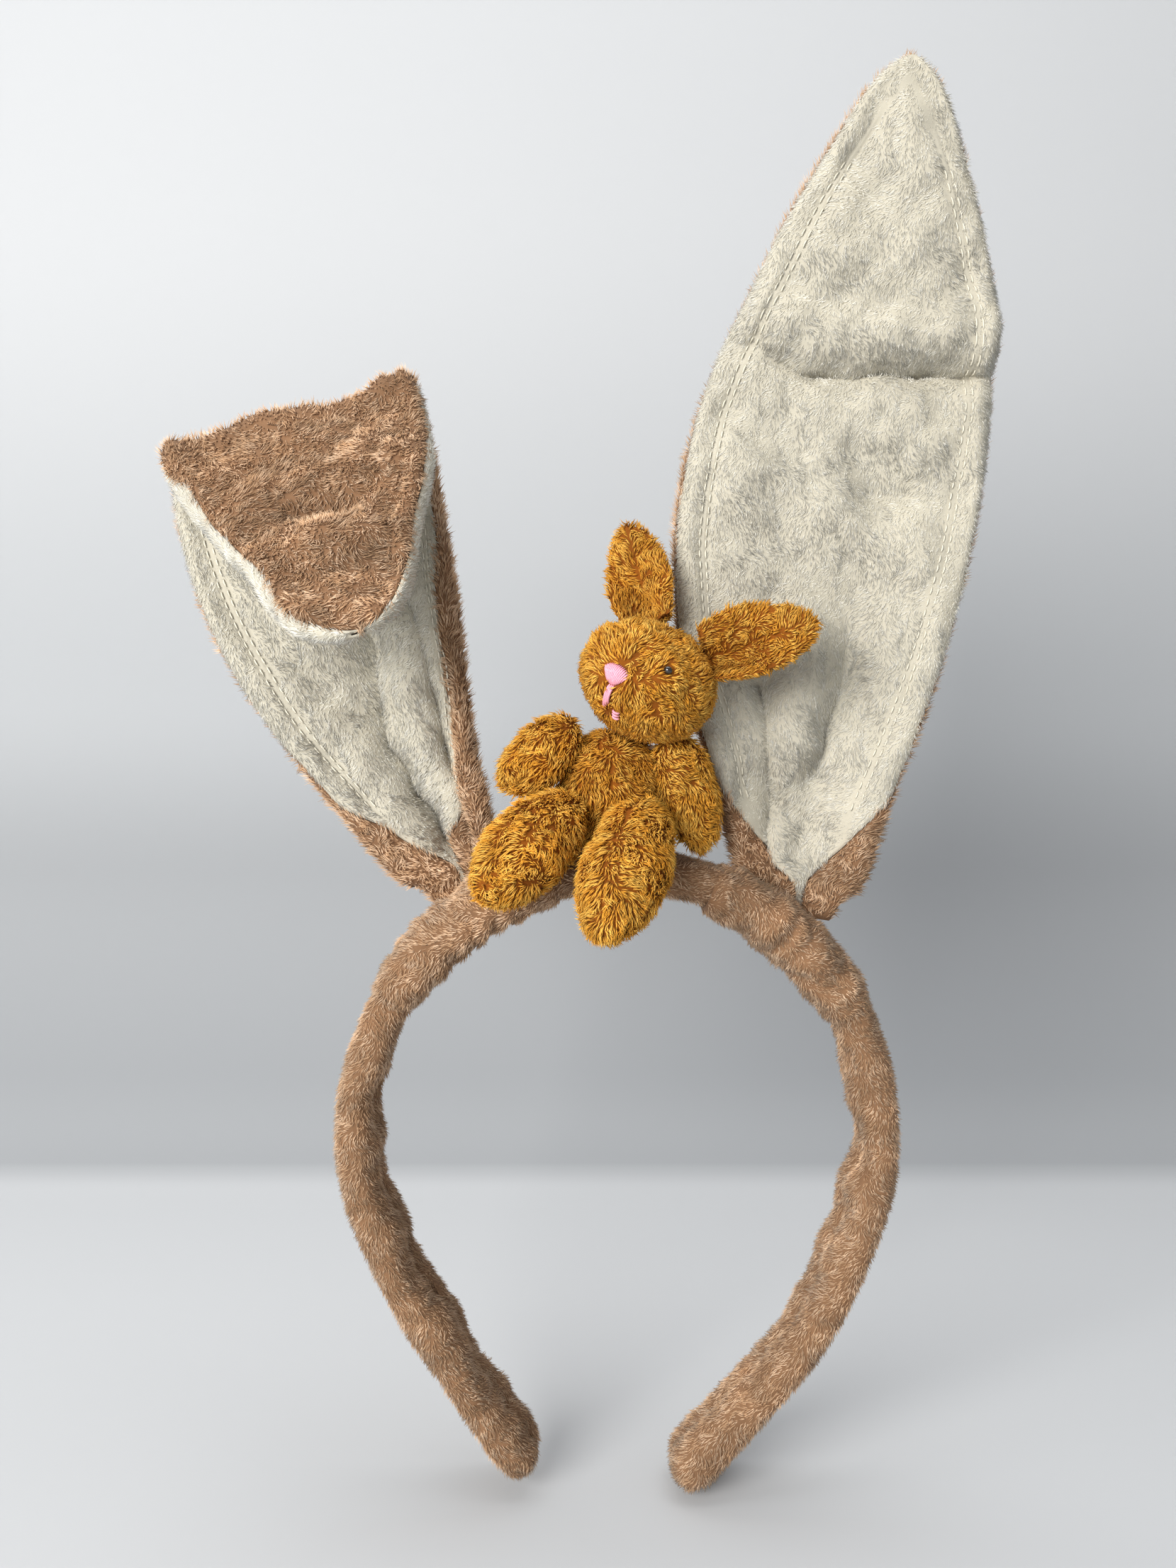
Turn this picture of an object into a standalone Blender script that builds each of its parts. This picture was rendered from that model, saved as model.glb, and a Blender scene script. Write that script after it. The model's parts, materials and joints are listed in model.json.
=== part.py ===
"""Rabbit-ears headband with a small seated plush rabbit: a Blender model of its separate pieces.

Left is -X and right is +X, seen from the front, which faces -Y. The origin is the middle of the
band's inner face at the crown, where the band sits on the top of the head. Lengths are in
millimetres and angles in degrees; MM turns millimetres into Blender's metres.
"""

import math

import bmesh
import bpy
from mathutils import Matrix, Quaternion, Vector

MM = 0.001
GAP = 0.35  # clearance between neighbouring solids

# Headband: a flat springy strip inside a plush sleeve.
BAND_RADIUS = 64.0  # centreline of the arch
BAND_STEP = 7.0  # degrees that one straight piece of the arch turns
# Runs of straight pieces from the crown down to each tip: (pieces, degrees each, length each).
BAND_PIECE = 2 * BAND_RADIUS * math.sin(math.radians(BAND_STEP / 2))
LEFT_RUNS = ((17, BAND_STEP, BAND_PIECE), (5, 1.2, 12.0))
RIGHT_RUNS = ((14, BAND_STEP, BAND_PIECE), (6, 5.6, 10.0), (3, 1.0, 10.0))
SLEEVE_THICK, SLEEVE_WIDE, SLEEVE_CORNER, SLEEVE_WALL = 10.5, 20.0, 4.0, 2.2
CORE_THICK, CORE_WIDE, CORE_CORNER, CORE_SHORT = 1.8, 13.0, 0.7, 9.0
COLLAR_WALL = 1.3
LEFT_COLLAR, RIGHT_COLLAR = 4, 5  # the station, counted from the crown, under each collar's middle

# Big ears: two plush panels with a rim wire between them.
EAR_LENGTH, EAR_HALF_WIDTH = 202.0, 37.0
EAR_LOW_ROUNDNESS, EAR_HIGH_ROUNDNESS = 0.6, 0.75  # below and above the widest place
EAR_START, EAR_END, EAR_BOW_END = 0.0125, 0.988, 0.72  # shares of the ear's length
EAR_CUP, EAR_BOW = 0.36, 5.5  # depth of the cup as a share of the half width; sideways bow
PANEL_WALL, PANEL_SPACE = 2.0, 2.2
PANEL_COLUMNS = (-1.0, -0.83, -0.45, 0.0, 0.45, 0.83, 1.0)
WIRE_RADIUS, WIRE_COLUMN = 0.5, 0.83
FOLD_CLEARANCE = 0.4
GATHER_RADIUS = 2.4
EAR_BACK = 8.5  # how far the ears stand behind the band's middle
FOLD_LIFT = 3.45  # how far in front of the ear's middle surface the crease is


class Ear:
    """What differs between the two ears. Angles are in degrees."""

    def __init__(self, side, lean, yaw, crease, fold, curl):
        self.side = side
        self.lean = lean  # sideways, towards +X
        self.yaw = yaw  # turn of the front towards +X
        self.crease = crease  # share of the length at which the ear folds
        self.fold = fold  # how far the tip is folded forwards
        self.curl = curl  # share of its width that the +X side loses, curled forwards


LEFT_EAR = Ear("left", -17.4, 2.0, 0.57, 139.0, 0.2)
RIGHT_EAR = Ear("right", 6.8, 0.0, 0.605, 10.0, 0.0)

# Plush rabbit, seated on the crown.
SKIN_WALL = 1.4
TORSO_CENTRE, TORSO_RADII = Vector((-1.5, -3.5, 25.6)), Vector((12.0, 11.0, 14.6))
HEAD_CENTRE, HEAD_RADII = Vector((7.7, -10.6, 51.7)), Vector((15.9, 15.0, 14.0))
HEAD_ROLL, HEAD_YAW = 31.0, -24.0
NECK_X, NECK_Y = 3.0, -6.6
SHOULDER_Y, SHOULDER_Z = -6.0, 35.5
HIP_Y, HIP_Z = -9.0, 21.5
THREAD_RADIUS, THREAD_HOLE = 0.5, 1.0


# ---------------------------------------------------------------- scene helpers


def clear_scene():
    for obj in list(bpy.data.objects):
        bpy.data.objects.remove(obj)


def material(name, colour, roughness, metallic=0.0):
    made = bpy.data.materials.new(name)
    made.use_nodes = True
    shader = made.node_tree.nodes["Principled BSDF"]
    shader.inputs["Base Color"].default_value = (*colour, 1.0)
    shader.inputs["Roughness"].default_value = roughness
    shader.inputs["Metallic"].default_value = metallic
    return made


def link(obj, parent, location, rotation):
    bpy.context.scene.collection.objects.link(obj)
    obj.parent = parent
    obj.location = Vector(location) * MM
    obj.rotation_mode = "QUATERNION"
    obj.rotation_quaternion = rotation
    return obj


def pivot(name, location, rotation=Quaternion(), parent=None):
    """An empty on a joint's axis. What it carries is modelled around it."""
    return link(bpy.data.objects.new(name, None), parent, location, rotation)


def node(name, bm, finish, parent=None, location=(0, 0, 0), rotation=Quaternion()):
    """One sub-part from a bmesh in millimetres."""
    bmesh.ops.scale(bm, vec=(MM, MM, MM), verts=bm.verts)
    bmesh.ops.recalc_face_normals(bm, faces=bm.faces)
    mesh = bpy.data.meshes.new(name)
    bm.to_mesh(mesh)
    bm.free()
    mesh.materials.append(finish)
    mesh.shade_smooth()
    mesh.set_sharp_from_angle(angle=math.radians(50))
    return link(bpy.data.objects.new(name, mesh), parent, location, rotation)


def solidify(obj, thickness, offset):
    shell = obj.modifiers.new("wall", "SOLIDIFY")
    shell.thickness = thickness * MM
    shell.offset = offset
    shell.use_even_offset = True


def cut(obj, cutter):
    hole = obj.modifiers.new("hole", "BOOLEAN")
    hole.operation = "DIFFERENCE"
    hole.object = cutter


def cutter_rod(name, radius, start, end):
    rod = rod_bmesh(radius, start, end)
    obj = node(name, rod, bpy.data.materials["thread"])
    obj.hide_render = True
    obj.display_type = "WIRE"
    return obj


# ---------------------------------------------------------------- shape helpers


def ring_faces(bm, rings, close_ends):
    """Joins rings of points into a tube, with its ends filled or left open."""
    loops = [[bm.verts.new(point) for point in ring] for ring in rings]
    count = len(loops[0])
    for first, second in zip(loops, loops[1:]):
        for i in range(count):
            j = (i + 1) % count
            bm.faces.new((first[i], first[j], second[j], second[i]))
    if close_ends:
        bm.faces.new(loops[0])
        bm.faces.new(loops[-1])


def rounded_rectangle(thick, wide, corner, per_corner=3):
    """Outline points (across the thickness, across the width) with round corners."""
    points = []
    for quarter in range(4):
        start = quarter * 90
        sign_a = 1 if quarter in (0, 3) else -1
        sign_b = 1 if quarter in (0, 1) else -1
        middle_a = sign_a * (thick / 2 - corner)
        middle_b = sign_b * (wide / 2 - corner)
        for i in range(per_corner):
            angle = math.radians(start + 90 * i / (per_corner - 1))
            points.append((middle_a + corner * math.cos(angle), middle_b + corner * math.sin(angle)))
    return points


def rod_bmesh(radius, start, end, sides=8):
    bm = bmesh.new()
    along = Vector(end) - Vector(start)
    bmesh.ops.create_cone(
        bm, cap_ends=True, segments=sides, radius1=radius, radius2=radius, depth=along.length
    )
    turn = along.to_track_quat("Z", "Y").to_matrix().to_4x4()
    place = Matrix.Translation((Vector(start) + Vector(end)) / 2) @ turn
    bmesh.ops.transform(bm, matrix=place, verts=bm.verts)
    return bm


def ellipsoid_bmesh(
    radii, pole=(0, 0, 1), taper=0.0, segments=12, rings=8, open_pole=False, floor=-1.0
):
    """An ellipsoid whose mesh pole points along pole.

    taper makes the +Z end slimmer, and floor flattens the -Z end below that share of its radius.
    """
    bm = bmesh.new()
    bmesh.ops.create_uvsphere(bm, u_segments=segments, v_segments=rings, radius=1.0)
    if open_pole:
        top = max(bm.verts, key=lambda vertex: vertex.co.z)
        bmesh.ops.delete(bm, geom=[top], context="VERTS")
    aim = Vector(pole).to_track_quat("Z", "Y")
    for vertex in bm.verts:
        point = aim @ vertex.co
        slim = 1.0 - taper * point.z
        height = max(point.z, floor)
        vertex.co = (point.x * radii[0] * slim, point.y * radii[1] * slim, height * radii[2])
    return bm


def wire_node(name, points, radius, finish, parent, sides_per_quarter=1):
    """A bent wire or thread along points."""
    curve = bpy.data.curves.new(name, "CURVE")
    curve.dimensions = "3D"
    curve.bevel_depth = radius * MM
    curve.bevel_resolution = sides_per_quarter
    curve.use_fill_caps = True
    spline = curve.splines.new("POLY")
    spline.points.add(len(points) - 1)
    for place, point in zip(spline.points, points):
        place.co = (*(Vector(point) * MM), 1.0)
    curve.materials.append(finish)
    return link(bpy.data.objects.new(name, curve), parent, (0, 0, 0), Quaternion())


# ---------------------------------------------------------------- headband


def half_centreline(side, runs):
    """Stations (point, outward direction) from beside the crown to the tip of one arm."""
    point = Vector((side * BAND_PIECE / 2, 0, SLEEVE_THICK / 2))
    heading = 0.0
    stations = []
    for count, turn, length in runs:
        for _ in range(count):
            stations.append((point, direction_at(side, heading + turn / 2)))
            heading += turn
            ahead = math.radians(heading)
            point = point + length * Vector((side * math.cos(ahead), 0, -math.sin(ahead)))
    stations.append((point, direction_at(side, heading)))
    return stations


def direction_at(side, degrees):
    """Outward direction of the band where its centreline has turned this far from the crown."""
    angle = math.radians(degrees)
    return Vector((side * math.sin(angle), 0, math.cos(angle)))


def swept(stations, outline):
    """One ring of the outline at each station."""
    return [
        [point + outward * across + Vector((0, along, 0)) for across, along in outline]
        for point, outward in stations
    ]


def between(first, second, share):
    """The station part of the way along the straight piece between two stations."""
    return (first[0].lerp(second[0], share), first[1].lerp(second[1], share))


def shortened(stations, length):
    """The same centreline with its two ends cut back."""
    trimmed = list(stations)
    for end, inner in ((0, 1), (-1, -2)):
        whole = (trimmed[end][0] - trimmed[inner][0]).length
        trimmed[end] = between(trimmed[end], trimmed[inner], length / whole)
    return trimmed


def make_band_core(stations):
    bm = bmesh.new()
    outline = rounded_rectangle(CORE_THICK, CORE_WIDE, CORE_CORNER, per_corner=2)
    ring_faces(bm, swept(shortened(stations, CORE_SHORT), outline), close_ends=True)
    node("band_core", bm, bpy.data.materials["band_plastic"])


def make_band_sleeve(stations):
    bm = bmesh.new()
    outline = rounded_rectangle(SLEEVE_THICK, SLEEVE_WIDE, SLEEVE_CORNER)
    ring_faces(bm, swept(stations, outline), close_ends=False)
    sleeve = node("band_sleeve", bm, bpy.data.materials["tan_plush"])
    solidify(sleeve, SLEEVE_WALL, -1)
    return sleeve


def make_end_tuck(name, end, before):
    """The sleeve's folded-in end, which plugs its opening."""
    point, outward = end
    along = (point - before[0]).normalized()
    across = SLEEVE_THICK / 2 - SLEEVE_WALL - 2 * GAP
    wide = SLEEVE_WIDE / 2 - SLEEVE_WALL - 2 * GAP
    turn = Matrix((outward, Vector((0, 1, 0)), along)).transposed().to_quaternion()
    bm = ellipsoid_bmesh((across, wide, 4.5))
    node(name, bm, bpy.data.materials["tan_plush"], location=point, rotation=turn)


def collar_stations(half, middle):
    """Stations under an ear's collar: three whole ones, and half a piece more at each end."""
    first = between(half[middle - 2], half[middle - 1], 0.5)
    last = between(half[middle + 1], half[middle + 2], 0.5)
    return [first, *half[middle - 1 : middle + 2], last]


def make_ear_collar(name, half, middle):
    grow = 2 * (GAP + COLLAR_WALL)
    outline = rounded_rectangle(SLEEVE_THICK + grow, SLEEVE_WIDE + grow, SLEEVE_CORNER + grow / 2)
    bm = bmesh.new()
    ring_faces(bm, swept(collar_stations(half, middle), outline), close_ends=False)
    solidify(node(name, bm, bpy.data.materials["tan_plush"]), COLLAR_WALL, -1)


# ---------------------------------------------------------------- big ears


def ear_point(ear, across, share):
    """Middle surface of an unfolded ear: across from -1 to 1, share of the length from 0 to 1.

    X is across the ear, Z is along it, and -Y is its cream front. The lower part is cupped
    towards the front, and the cup fades out at the crease.
    """
    roundness = EAR_LOW_ROUNDNESS if share < 0.5 else EAR_HIGH_ROUNDNESS
    half = EAR_HALF_WIDTH * math.sin(math.pi * share) ** roundness
    fade = max(0.0, 1 - share / ear.crease)
    side = half * across * (1 - ear.curl * (1 + fade) if across > 0 else 1)
    bow = -EAR_BOW * math.sin(math.pi * min(1.0, share / EAR_BOW_END))
    cup = EAR_CUP * half * fade
    return Vector((side + bow, -cup * across * across, share * EAR_LENGTH))


def ear_normal(ear, across, share):
    """Unit direction out of the front of the ear's middle surface."""
    step = 1e-3
    sideways = ear_point(ear, across + step, share) - ear_point(ear, across - step, share)
    upwards = ear_point(ear, across, share + step) - ear_point(ear, across, share - step)
    return sideways.cross(upwards).normalized()


def ear_shares(first, last, rows, crowding=1.0):
    """Row positions along an ear. crowding above 1 packs them towards last."""
    return [last - (last - first) * (1 - i / rows) ** crowding for i in range(rows + 1)]


def panel_bmesh(ear, shares, front, base):
    """One plush panel, as its middle surface, relative to the point base."""
    lift = (PANEL_SPACE + PANEL_WALL) / 2 * (1 if front else -1)
    bm = bmesh.new()
    rows = []
    for share in shares:
        row = [
            ear_point(ear, across, share) + ear_normal(ear, across, share) * lift - base
            for across in PANEL_COLUMNS
        ]
        rows.append([bm.verts.new(point) for point in row])
    for low, high in zip(rows, rows[1:]):
        for i in range(len(PANEL_COLUMNS) - 1):
            bm.faces.new((low[i], low[i + 1], high[i + 1], high[i]))
    return bm


def make_panels(ear, word, shares, base, parent):
    """The cream front and tan back panel of one part of an ear."""
    for front, side, finish in ((True, "front", "cream_plush"), (False, "back", "tan_plush")):
        name = f"{ear.side}_ear_{side}_{word}"
        surface = panel_bmesh(ear, shares, front, base)
        solidify(node(name, surface, bpy.data.materials[finish], parent), PANEL_WALL, 0)


def wire_route(ear, shares, base):
    """Along one rim and back along the other, joined across the ear at the last of shares."""
    there = [(-WIRE_COLUMN, share) for share in shares]
    across = [(column, shares[-1]) for column in PANEL_COLUMNS[2:-2]]
    back = [(WIRE_COLUMN, share) for share in reversed(shares)]
    return [ear_point(ear, *place) - base for place in (*there, *across, *back)]


def ear_root(half, middle):
    """The point on the collar that an ear stands on and tilts about."""
    point, outward = half[middle]
    reach = SLEEVE_THICK / 2 + GAP + COLLAR_WALL + GAP + GATHER_RADIUS
    return point + outward * reach + Vector((0, EAR_BACK, 0))


def make_ear(ear, root):
    """One big ear: its gathered root, and two panels and a wire on each side of the crease."""
    tilt = Quaternion((0, 1, 0), math.radians(ear.lean))
    turn = Quaternion((0, 0, 1), math.radians(ear.yaw))
    foot = pivot(f"{ear.side}_ear_pivot", root, tilt @ turn)
    gather = ellipsoid_bmesh((GATHER_RADIUS,) * 3, segments=10, rings=6)
    node(f"{ear.side}_ear_gather", gather, bpy.data.materials["tan_plush"], foot)

    crease = Vector((0, -FOLD_LIFT, ear.crease * EAR_LENGTH))
    bend = Quaternion((1, 0, 0), math.radians(ear.fold))
    tip = pivot(f"{ear.side}_ear_fold_pivot", crease, bend, foot)
    margin = FOLD_CLEARANCE / EAR_LENGTH
    lower = ear_shares(EAR_START, ear.crease - margin, 7, crowding=0.7)
    upper = ear_shares(ear.crease + margin, EAR_END, 6, crowding=1.5)
    make_panels(ear, "lower", lower, Vector((0, 0, 0)), foot)
    make_panels(ear, "upper", upper, crease, tip)
    finish = bpy.data.materials["ear_wire"]
    low = wire_route(ear, lower[:1:-1], Vector((0, 0, 0)))
    high = wire_route(ear, upper[:-1], crease)
    wire_node(f"{ear.side}_ear_wire_lower", low, WIRE_RADIUS, finish, foot)
    wire_node(f"{ear.side}_ear_wire_upper", high, WIRE_RADIUS, finish, tip)


# ---------------------------------------------------------------- plush rabbit


def make_stuffed(name, radii, parent, location, rotation, opening, taper=0.0):
    """A sewn skin, open where its joint thread goes in, and the stuffing inside it."""
    skin_mesh = ellipsoid_bmesh(radii, pole=opening, taper=taper, open_pole=True)
    skin = node(f"{name}_skin", skin_mesh, bpy.data.materials["gold_plush"], parent, location, rotation)
    solidify(skin, SKIN_WALL, -1)
    inner = [radius * 0.93 - SKIN_WALL - GAP for radius in radii]
    fill_mesh = ellipsoid_bmesh(inner, pole=opening, taper=taper, segments=10, rings=7)
    fill = node(f"{name}_stuffing", fill_mesh, bpy.data.materials["stuffing"], parent, location, rotation)
    return skin, fill


def unit_direction(point, centre, rotation, radii):
    """Where point lies, as a direction on the unit ball that the ellipsoid is scaled from."""
    local = rotation.inverted() @ (Vector(point) - Vector(centre))
    return Vector((local[i] / radii[i] for i in range(3))).normalized()


def make_limb(name, joint, top, far, radius, taper):
    """An arm or leg from top to far. joint is where its thread goes in, on its turning axis."""
    top, far = Vector(top), Vector(far)
    along = top - far
    centre = (top + far) / 2
    rotation = along.to_track_quat("Z", "Y")
    radii = (radius, radius, along.length / 2)
    opening = unit_direction(joint, centre, rotation, radii)
    hinge = pivot(f"{name}_pivot", joint)
    make_stuffed(name, radii, hinge, centre - Vector(joint), rotation, opening, taper)


def make_torso():
    neck = (NECK_X, NECK_Y, HEAD_CENTRE.z - HEAD_RADII.z)
    opening = unit_direction(neck, TORSO_CENTRE, Quaternion(), TORSO_RADII)
    return make_stuffed("bunny_torso", TORSO_RADII, None, TORSO_CENTRE, Quaternion(), opening)


def head_surface(direction, lift):
    """(place, turn) for something lying on the head, with its Z axis pointing out of it."""
    direction = Vector(direction).normalized()
    size = 1 / math.sqrt(sum((direction[i] / HEAD_RADII[i]) ** 2 for i in range(3)))
    point = direction * size
    outward = Vector((point[i] / HEAD_RADII[i] ** 2 for i in range(3))).normalized()
    return point + outward * lift, outward.to_track_quat("Z", "Y")


def make_head():
    roll = Quaternion((0, 1, 0), math.radians(HEAD_ROLL))
    yaw = Quaternion((0, 0, 1), math.radians(HEAD_YAW))
    neck = Vector((NECK_X, NECK_Y, HEAD_CENTRE.z - HEAD_RADII.z))
    opening = unit_direction(neck, HEAD_CENTRE, roll @ yaw, HEAD_RADII)
    turning = pivot("bunny_neck_pivot", neck)
    head = pivot("bunny_head_frame", HEAD_CENTRE - neck, roll @ yaw, turning)
    make_stuffed("bunny_head", HEAD_RADII, head, (0, 0, 0), Quaternion(), opening)

    for side, word in ((-1, "left"), (1, "right")):
        root, _ = head_surface((side * 0.56, 0.1, 0.83 - side * 0.07), GAP)
        spread = Quaternion((0, 1, 0), math.radians(side * 46))
        ear = ellipsoid_bmesh((9.6, 3.8, 16.5), segments=12, rings=8, floor=-0.5)
        centre = root + spread @ Vector((0, 0, 0.5 * 16.5 + 0.9))
        node(f"bunny_{word}_ear", ear, bpy.data.materials["gold_plush"], head, centre, spread)
        place, turn = head_surface((side * 0.66, -0.72, 0.26), 1.2 + GAP)
        bead = ellipsoid_bmesh((1.2, 1.2, 1.2), segments=8, rings=6)
        node(f"bunny_{word}_eye", bead, bpy.data.materials["black_bead"], head, place, turn)

    place, turn = head_surface((0, -1, -0.10), 1.1 + GAP)
    nose = ellipsoid_bmesh((3.1, 2.3, 1.1), segments=10, rings=6)
    node("bunny_nose", nose, bpy.data.materials["pink_thread"], head, place, turn)
    route = [head_surface((0.0, -1, z), 0.55 + GAP)[0] for z in (-0.28, -0.36, -0.44, -0.52)]
    wire_node("bunny_mouth", route, 0.45, bpy.data.materials["pink_thread"], head)
    place, turn = head_surface((0.10, -1, -0.72), 0.7 + GAP)
    stitch = ellipsoid_bmesh((1.3, 1.0, 0.7), segments=8, rings=5)
    node("bunny_chin_stitch", stitch, bpy.data.materials["pink_thread"], head, place, turn)


def make_threads(torso_skin, torso_stuffing, sleeve):
    """Joint threads through the torso, and the tack that sews the rabbit to the sleeve."""
    thread = bpy.data.materials["thread"]
    routes = {
        "bunny_shoulder_thread": ((-11.2, SHOULDER_Y, SHOULDER_Z), (10.2, SHOULDER_Y, SHOULDER_Z)),
        "bunny_hip_thread": ((-11.8, HIP_Y, HIP_Z), (8.5, HIP_Y, HIP_Z)),
        "bunny_tack_thread": ((-1.5, -3.5, SLEEVE_THICK - SLEEVE_WALL - 0.6), (-1.5, -3.5, 15.0)),
        "bunny_neck_thread": ((NECK_X, NECK_Y, 37.7), (NECK_X, NECK_Y, 45.0)),
    }
    for name, (start, end) in routes.items():
        node(name, rod_bmesh(THREAD_RADIUS, start, end), thread)
        reach = (Vector(end) - Vector(start)).normalized() * 2.0
        hole = cutter_rod(f"{name}_hole", THREAD_HOLE, Vector(start) - reach, Vector(end) + reach)
        cut(torso_stuffing, hole)
        if name != "bunny_neck_thread":
            cut(torso_skin, hole)
        else:
            cut(bpy.data.objects["bunny_head_stuffing"], hole)
        if name == "bunny_tack_thread":
            cut(sleeve, hole)


def make_rabbit(sleeve):
    torso_skin, torso_stuffing = make_torso()
    make_head()
    shoulder = (SHOULDER_Y, SHOULDER_Z)
    hip = (HIP_Y, HIP_Z)
    make_limb("bunny_left_arm", (-11.6, *shoulder), (-11.0, -6, 42), (-26.5, -11.5, 26), 6.7, -0.1)
    make_limb("bunny_right_arm", (10.6, *shoulder), (13.8, -6, 38), (21.0, -5, 10.5), 6.8, 0.0)
    make_limb("bunny_left_leg", (-12.2, *hip), (-11.5, -10.5, 23), (-30, -34, 3), 9.2, 0.12)
    make_limb("bunny_right_leg", (8.9, *hip), (8.5, -12, 21), (-4.5, -39, -5), 9.6, 0.12)
    make_threads(torso_skin, torso_stuffing, sleeve)


# ---------------------------------------------------------------- assembly


def make_materials():
    material("tan_plush", (0.42, 0.24, 0.13), 0.95)
    material("cream_plush", (0.78, 0.74, 0.62), 0.95)
    material("gold_plush", (0.56, 0.27, 0.03), 0.95)
    material("stuffing", (0.90, 0.90, 0.88), 0.95)
    material("band_plastic", (0.85, 0.83, 0.78), 0.45)
    material("ear_wire", (0.55, 0.55, 0.57), 0.35, 1.0)
    material("pink_thread", (0.80, 0.30, 0.42), 0.55)
    material("black_bead", (0.01, 0.01, 0.01), 0.15)
    material("thread", (0.35, 0.20, 0.10), 0.70)


def main():
    clear_scene()
    make_materials()
    left_half = half_centreline(-1, LEFT_RUNS)
    right_half = half_centreline(1, RIGHT_RUNS)
    stations = left_half[::-1] + right_half
    make_band_core(stations)
    sleeve = make_band_sleeve(stations)
    make_end_tuck("left_end_tuck", stations[0], stations[1])
    make_end_tuck("right_end_tuck", stations[-1], stations[-2])
    make_ear_collar("left_ear_collar", left_half, LEFT_COLLAR)
    make_ear_collar("right_ear_collar", right_half, RIGHT_COLLAR)
    make_ear(LEFT_EAR, ear_root(left_half, LEFT_COLLAR))
    make_ear(RIGHT_EAR, ear_root(right_half, RIGHT_COLLAR))
    make_rabbit(sleeve)


main()
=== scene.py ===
"""Looks of the rabbit-ears headband: plush fabric with real pile on every soft part.

Lengths in this script are millimetres in the row frame until a mesh is made, when MM turns them
into metres. Left is -X, and the front faces -Y.
"""

import json
import math

import bpy
import numpy as np
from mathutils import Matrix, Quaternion, Vector

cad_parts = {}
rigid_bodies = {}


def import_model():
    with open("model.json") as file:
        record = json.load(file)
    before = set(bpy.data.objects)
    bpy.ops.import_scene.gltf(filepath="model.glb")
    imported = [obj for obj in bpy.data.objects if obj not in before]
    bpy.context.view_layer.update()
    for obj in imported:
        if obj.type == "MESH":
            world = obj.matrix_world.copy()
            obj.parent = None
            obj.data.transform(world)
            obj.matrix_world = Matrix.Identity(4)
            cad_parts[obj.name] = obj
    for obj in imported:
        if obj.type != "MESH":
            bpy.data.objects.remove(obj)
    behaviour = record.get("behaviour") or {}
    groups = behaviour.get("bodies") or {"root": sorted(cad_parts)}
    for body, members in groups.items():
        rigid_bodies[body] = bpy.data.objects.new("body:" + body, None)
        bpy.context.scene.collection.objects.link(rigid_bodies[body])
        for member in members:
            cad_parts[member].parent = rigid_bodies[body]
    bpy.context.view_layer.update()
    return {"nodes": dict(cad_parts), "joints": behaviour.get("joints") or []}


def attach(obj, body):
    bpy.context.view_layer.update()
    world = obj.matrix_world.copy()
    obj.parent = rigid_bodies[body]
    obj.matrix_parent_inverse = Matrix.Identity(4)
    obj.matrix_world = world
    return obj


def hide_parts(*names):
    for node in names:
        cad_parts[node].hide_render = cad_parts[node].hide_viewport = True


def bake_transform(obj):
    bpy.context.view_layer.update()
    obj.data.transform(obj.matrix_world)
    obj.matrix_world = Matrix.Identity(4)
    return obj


for leftover in list(bpy.data.objects):
    bpy.data.objects.remove(leftover)
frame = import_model()

MM = 0.001
ROOT_DEPTH = 0.35  # how deep a tuft's root sits in the cloth
CLUMP_SIZE = 3.4  # how wide the clumps of pile are
CLOTH_TONE = 0.5  # of the cloth between the tufts, whose own tone runs from 0 to 1
LINING_DEPTH = 1.0  # how thick an ear's fabric is

# Pile of each fabric: tufts in a square millimetre, their length and their width.
SLEEVE_PILE = (3.3, 2.0, 0.36)
COLLAR_PILE = (3.3, 2.1, 0.38)
FRONT_PILE, BACK_PILE = (5.0, 2.0, 0.32), (3.6, 2.8, 0.4)
RABBIT_DENSITY, RABBIT_WIDTH = 3.8, 0.38

# Headband, as in its CAD source.
BAND_RADIUS = 64.0
BAND_STEP = 7.0
BAND_PIECE = 2 * BAND_RADIUS * math.sin(math.radians(BAND_STEP / 2))
LEFT_RUNS = ((17, BAND_STEP, BAND_PIECE), (5, 1.2, 12.0))
RIGHT_RUNS = ((14, BAND_STEP, BAND_PIECE), (6, 5.6, 10.0), (3, 1.0, 10.0))
SLEEVE_THICK, SLEEVE_WIDE = 10.5, 20.0

# Big ears, as in their CAD source.
EAR_LENGTH, EAR_HALF_WIDTH = 202.0, 37.0
EAR_CUP, EAR_BOW, EAR_BOW_END = 0.36, 5.5, 0.72
FOLD_LIFT = 3.45
EAR_BOTTOM = -0.03  # share of the length where the tan base ends, below the ear's root
FRONT_BOTTOM = -0.012  # the same of the cream front
EAR_TOP = 0.9992  # share of the length where the last row is
CREASE_GAP = 0.045  # share of the length with close rows, on each side of the crease


# ---- small maths


def smooth(t):
    t = np.clip(t, 0.0, 1.0)
    return t * t * (3 - 2 * t)


def bump(x, middle, spread):
    return np.exp(-(((x - middle) / spread) ** 2))


def unit(v):
    return v / np.maximum(np.linalg.norm(v, axis=-1, keepdims=True), 1e-9)


def ripple(points, size, seed, waves=9):
    """Smooth random values about -1 to 1 at points, with features about size across."""
    rng = np.random.default_rng(seed)
    total = np.zeros(points.shape[:-1])
    for _ in range(waves):
        direction = unit(rng.normal(size=3))
        pace = rng.uniform(0.6, 1.5) * 2 * math.pi / size
        total += np.sin(points @ direction * pace + rng.uniform(0, 2 * math.pi))
    return total / math.sqrt(waves) * 1.2


def turned(points, quaternion):
    return points @ np.array(quaternion.to_matrix()).T


def turn_steps(count):
    """Angles evenly spaced round a full turn."""
    return np.linspace(0, 2 * math.pi, count, endpoint=False)


# ---- cloth builder


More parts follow.
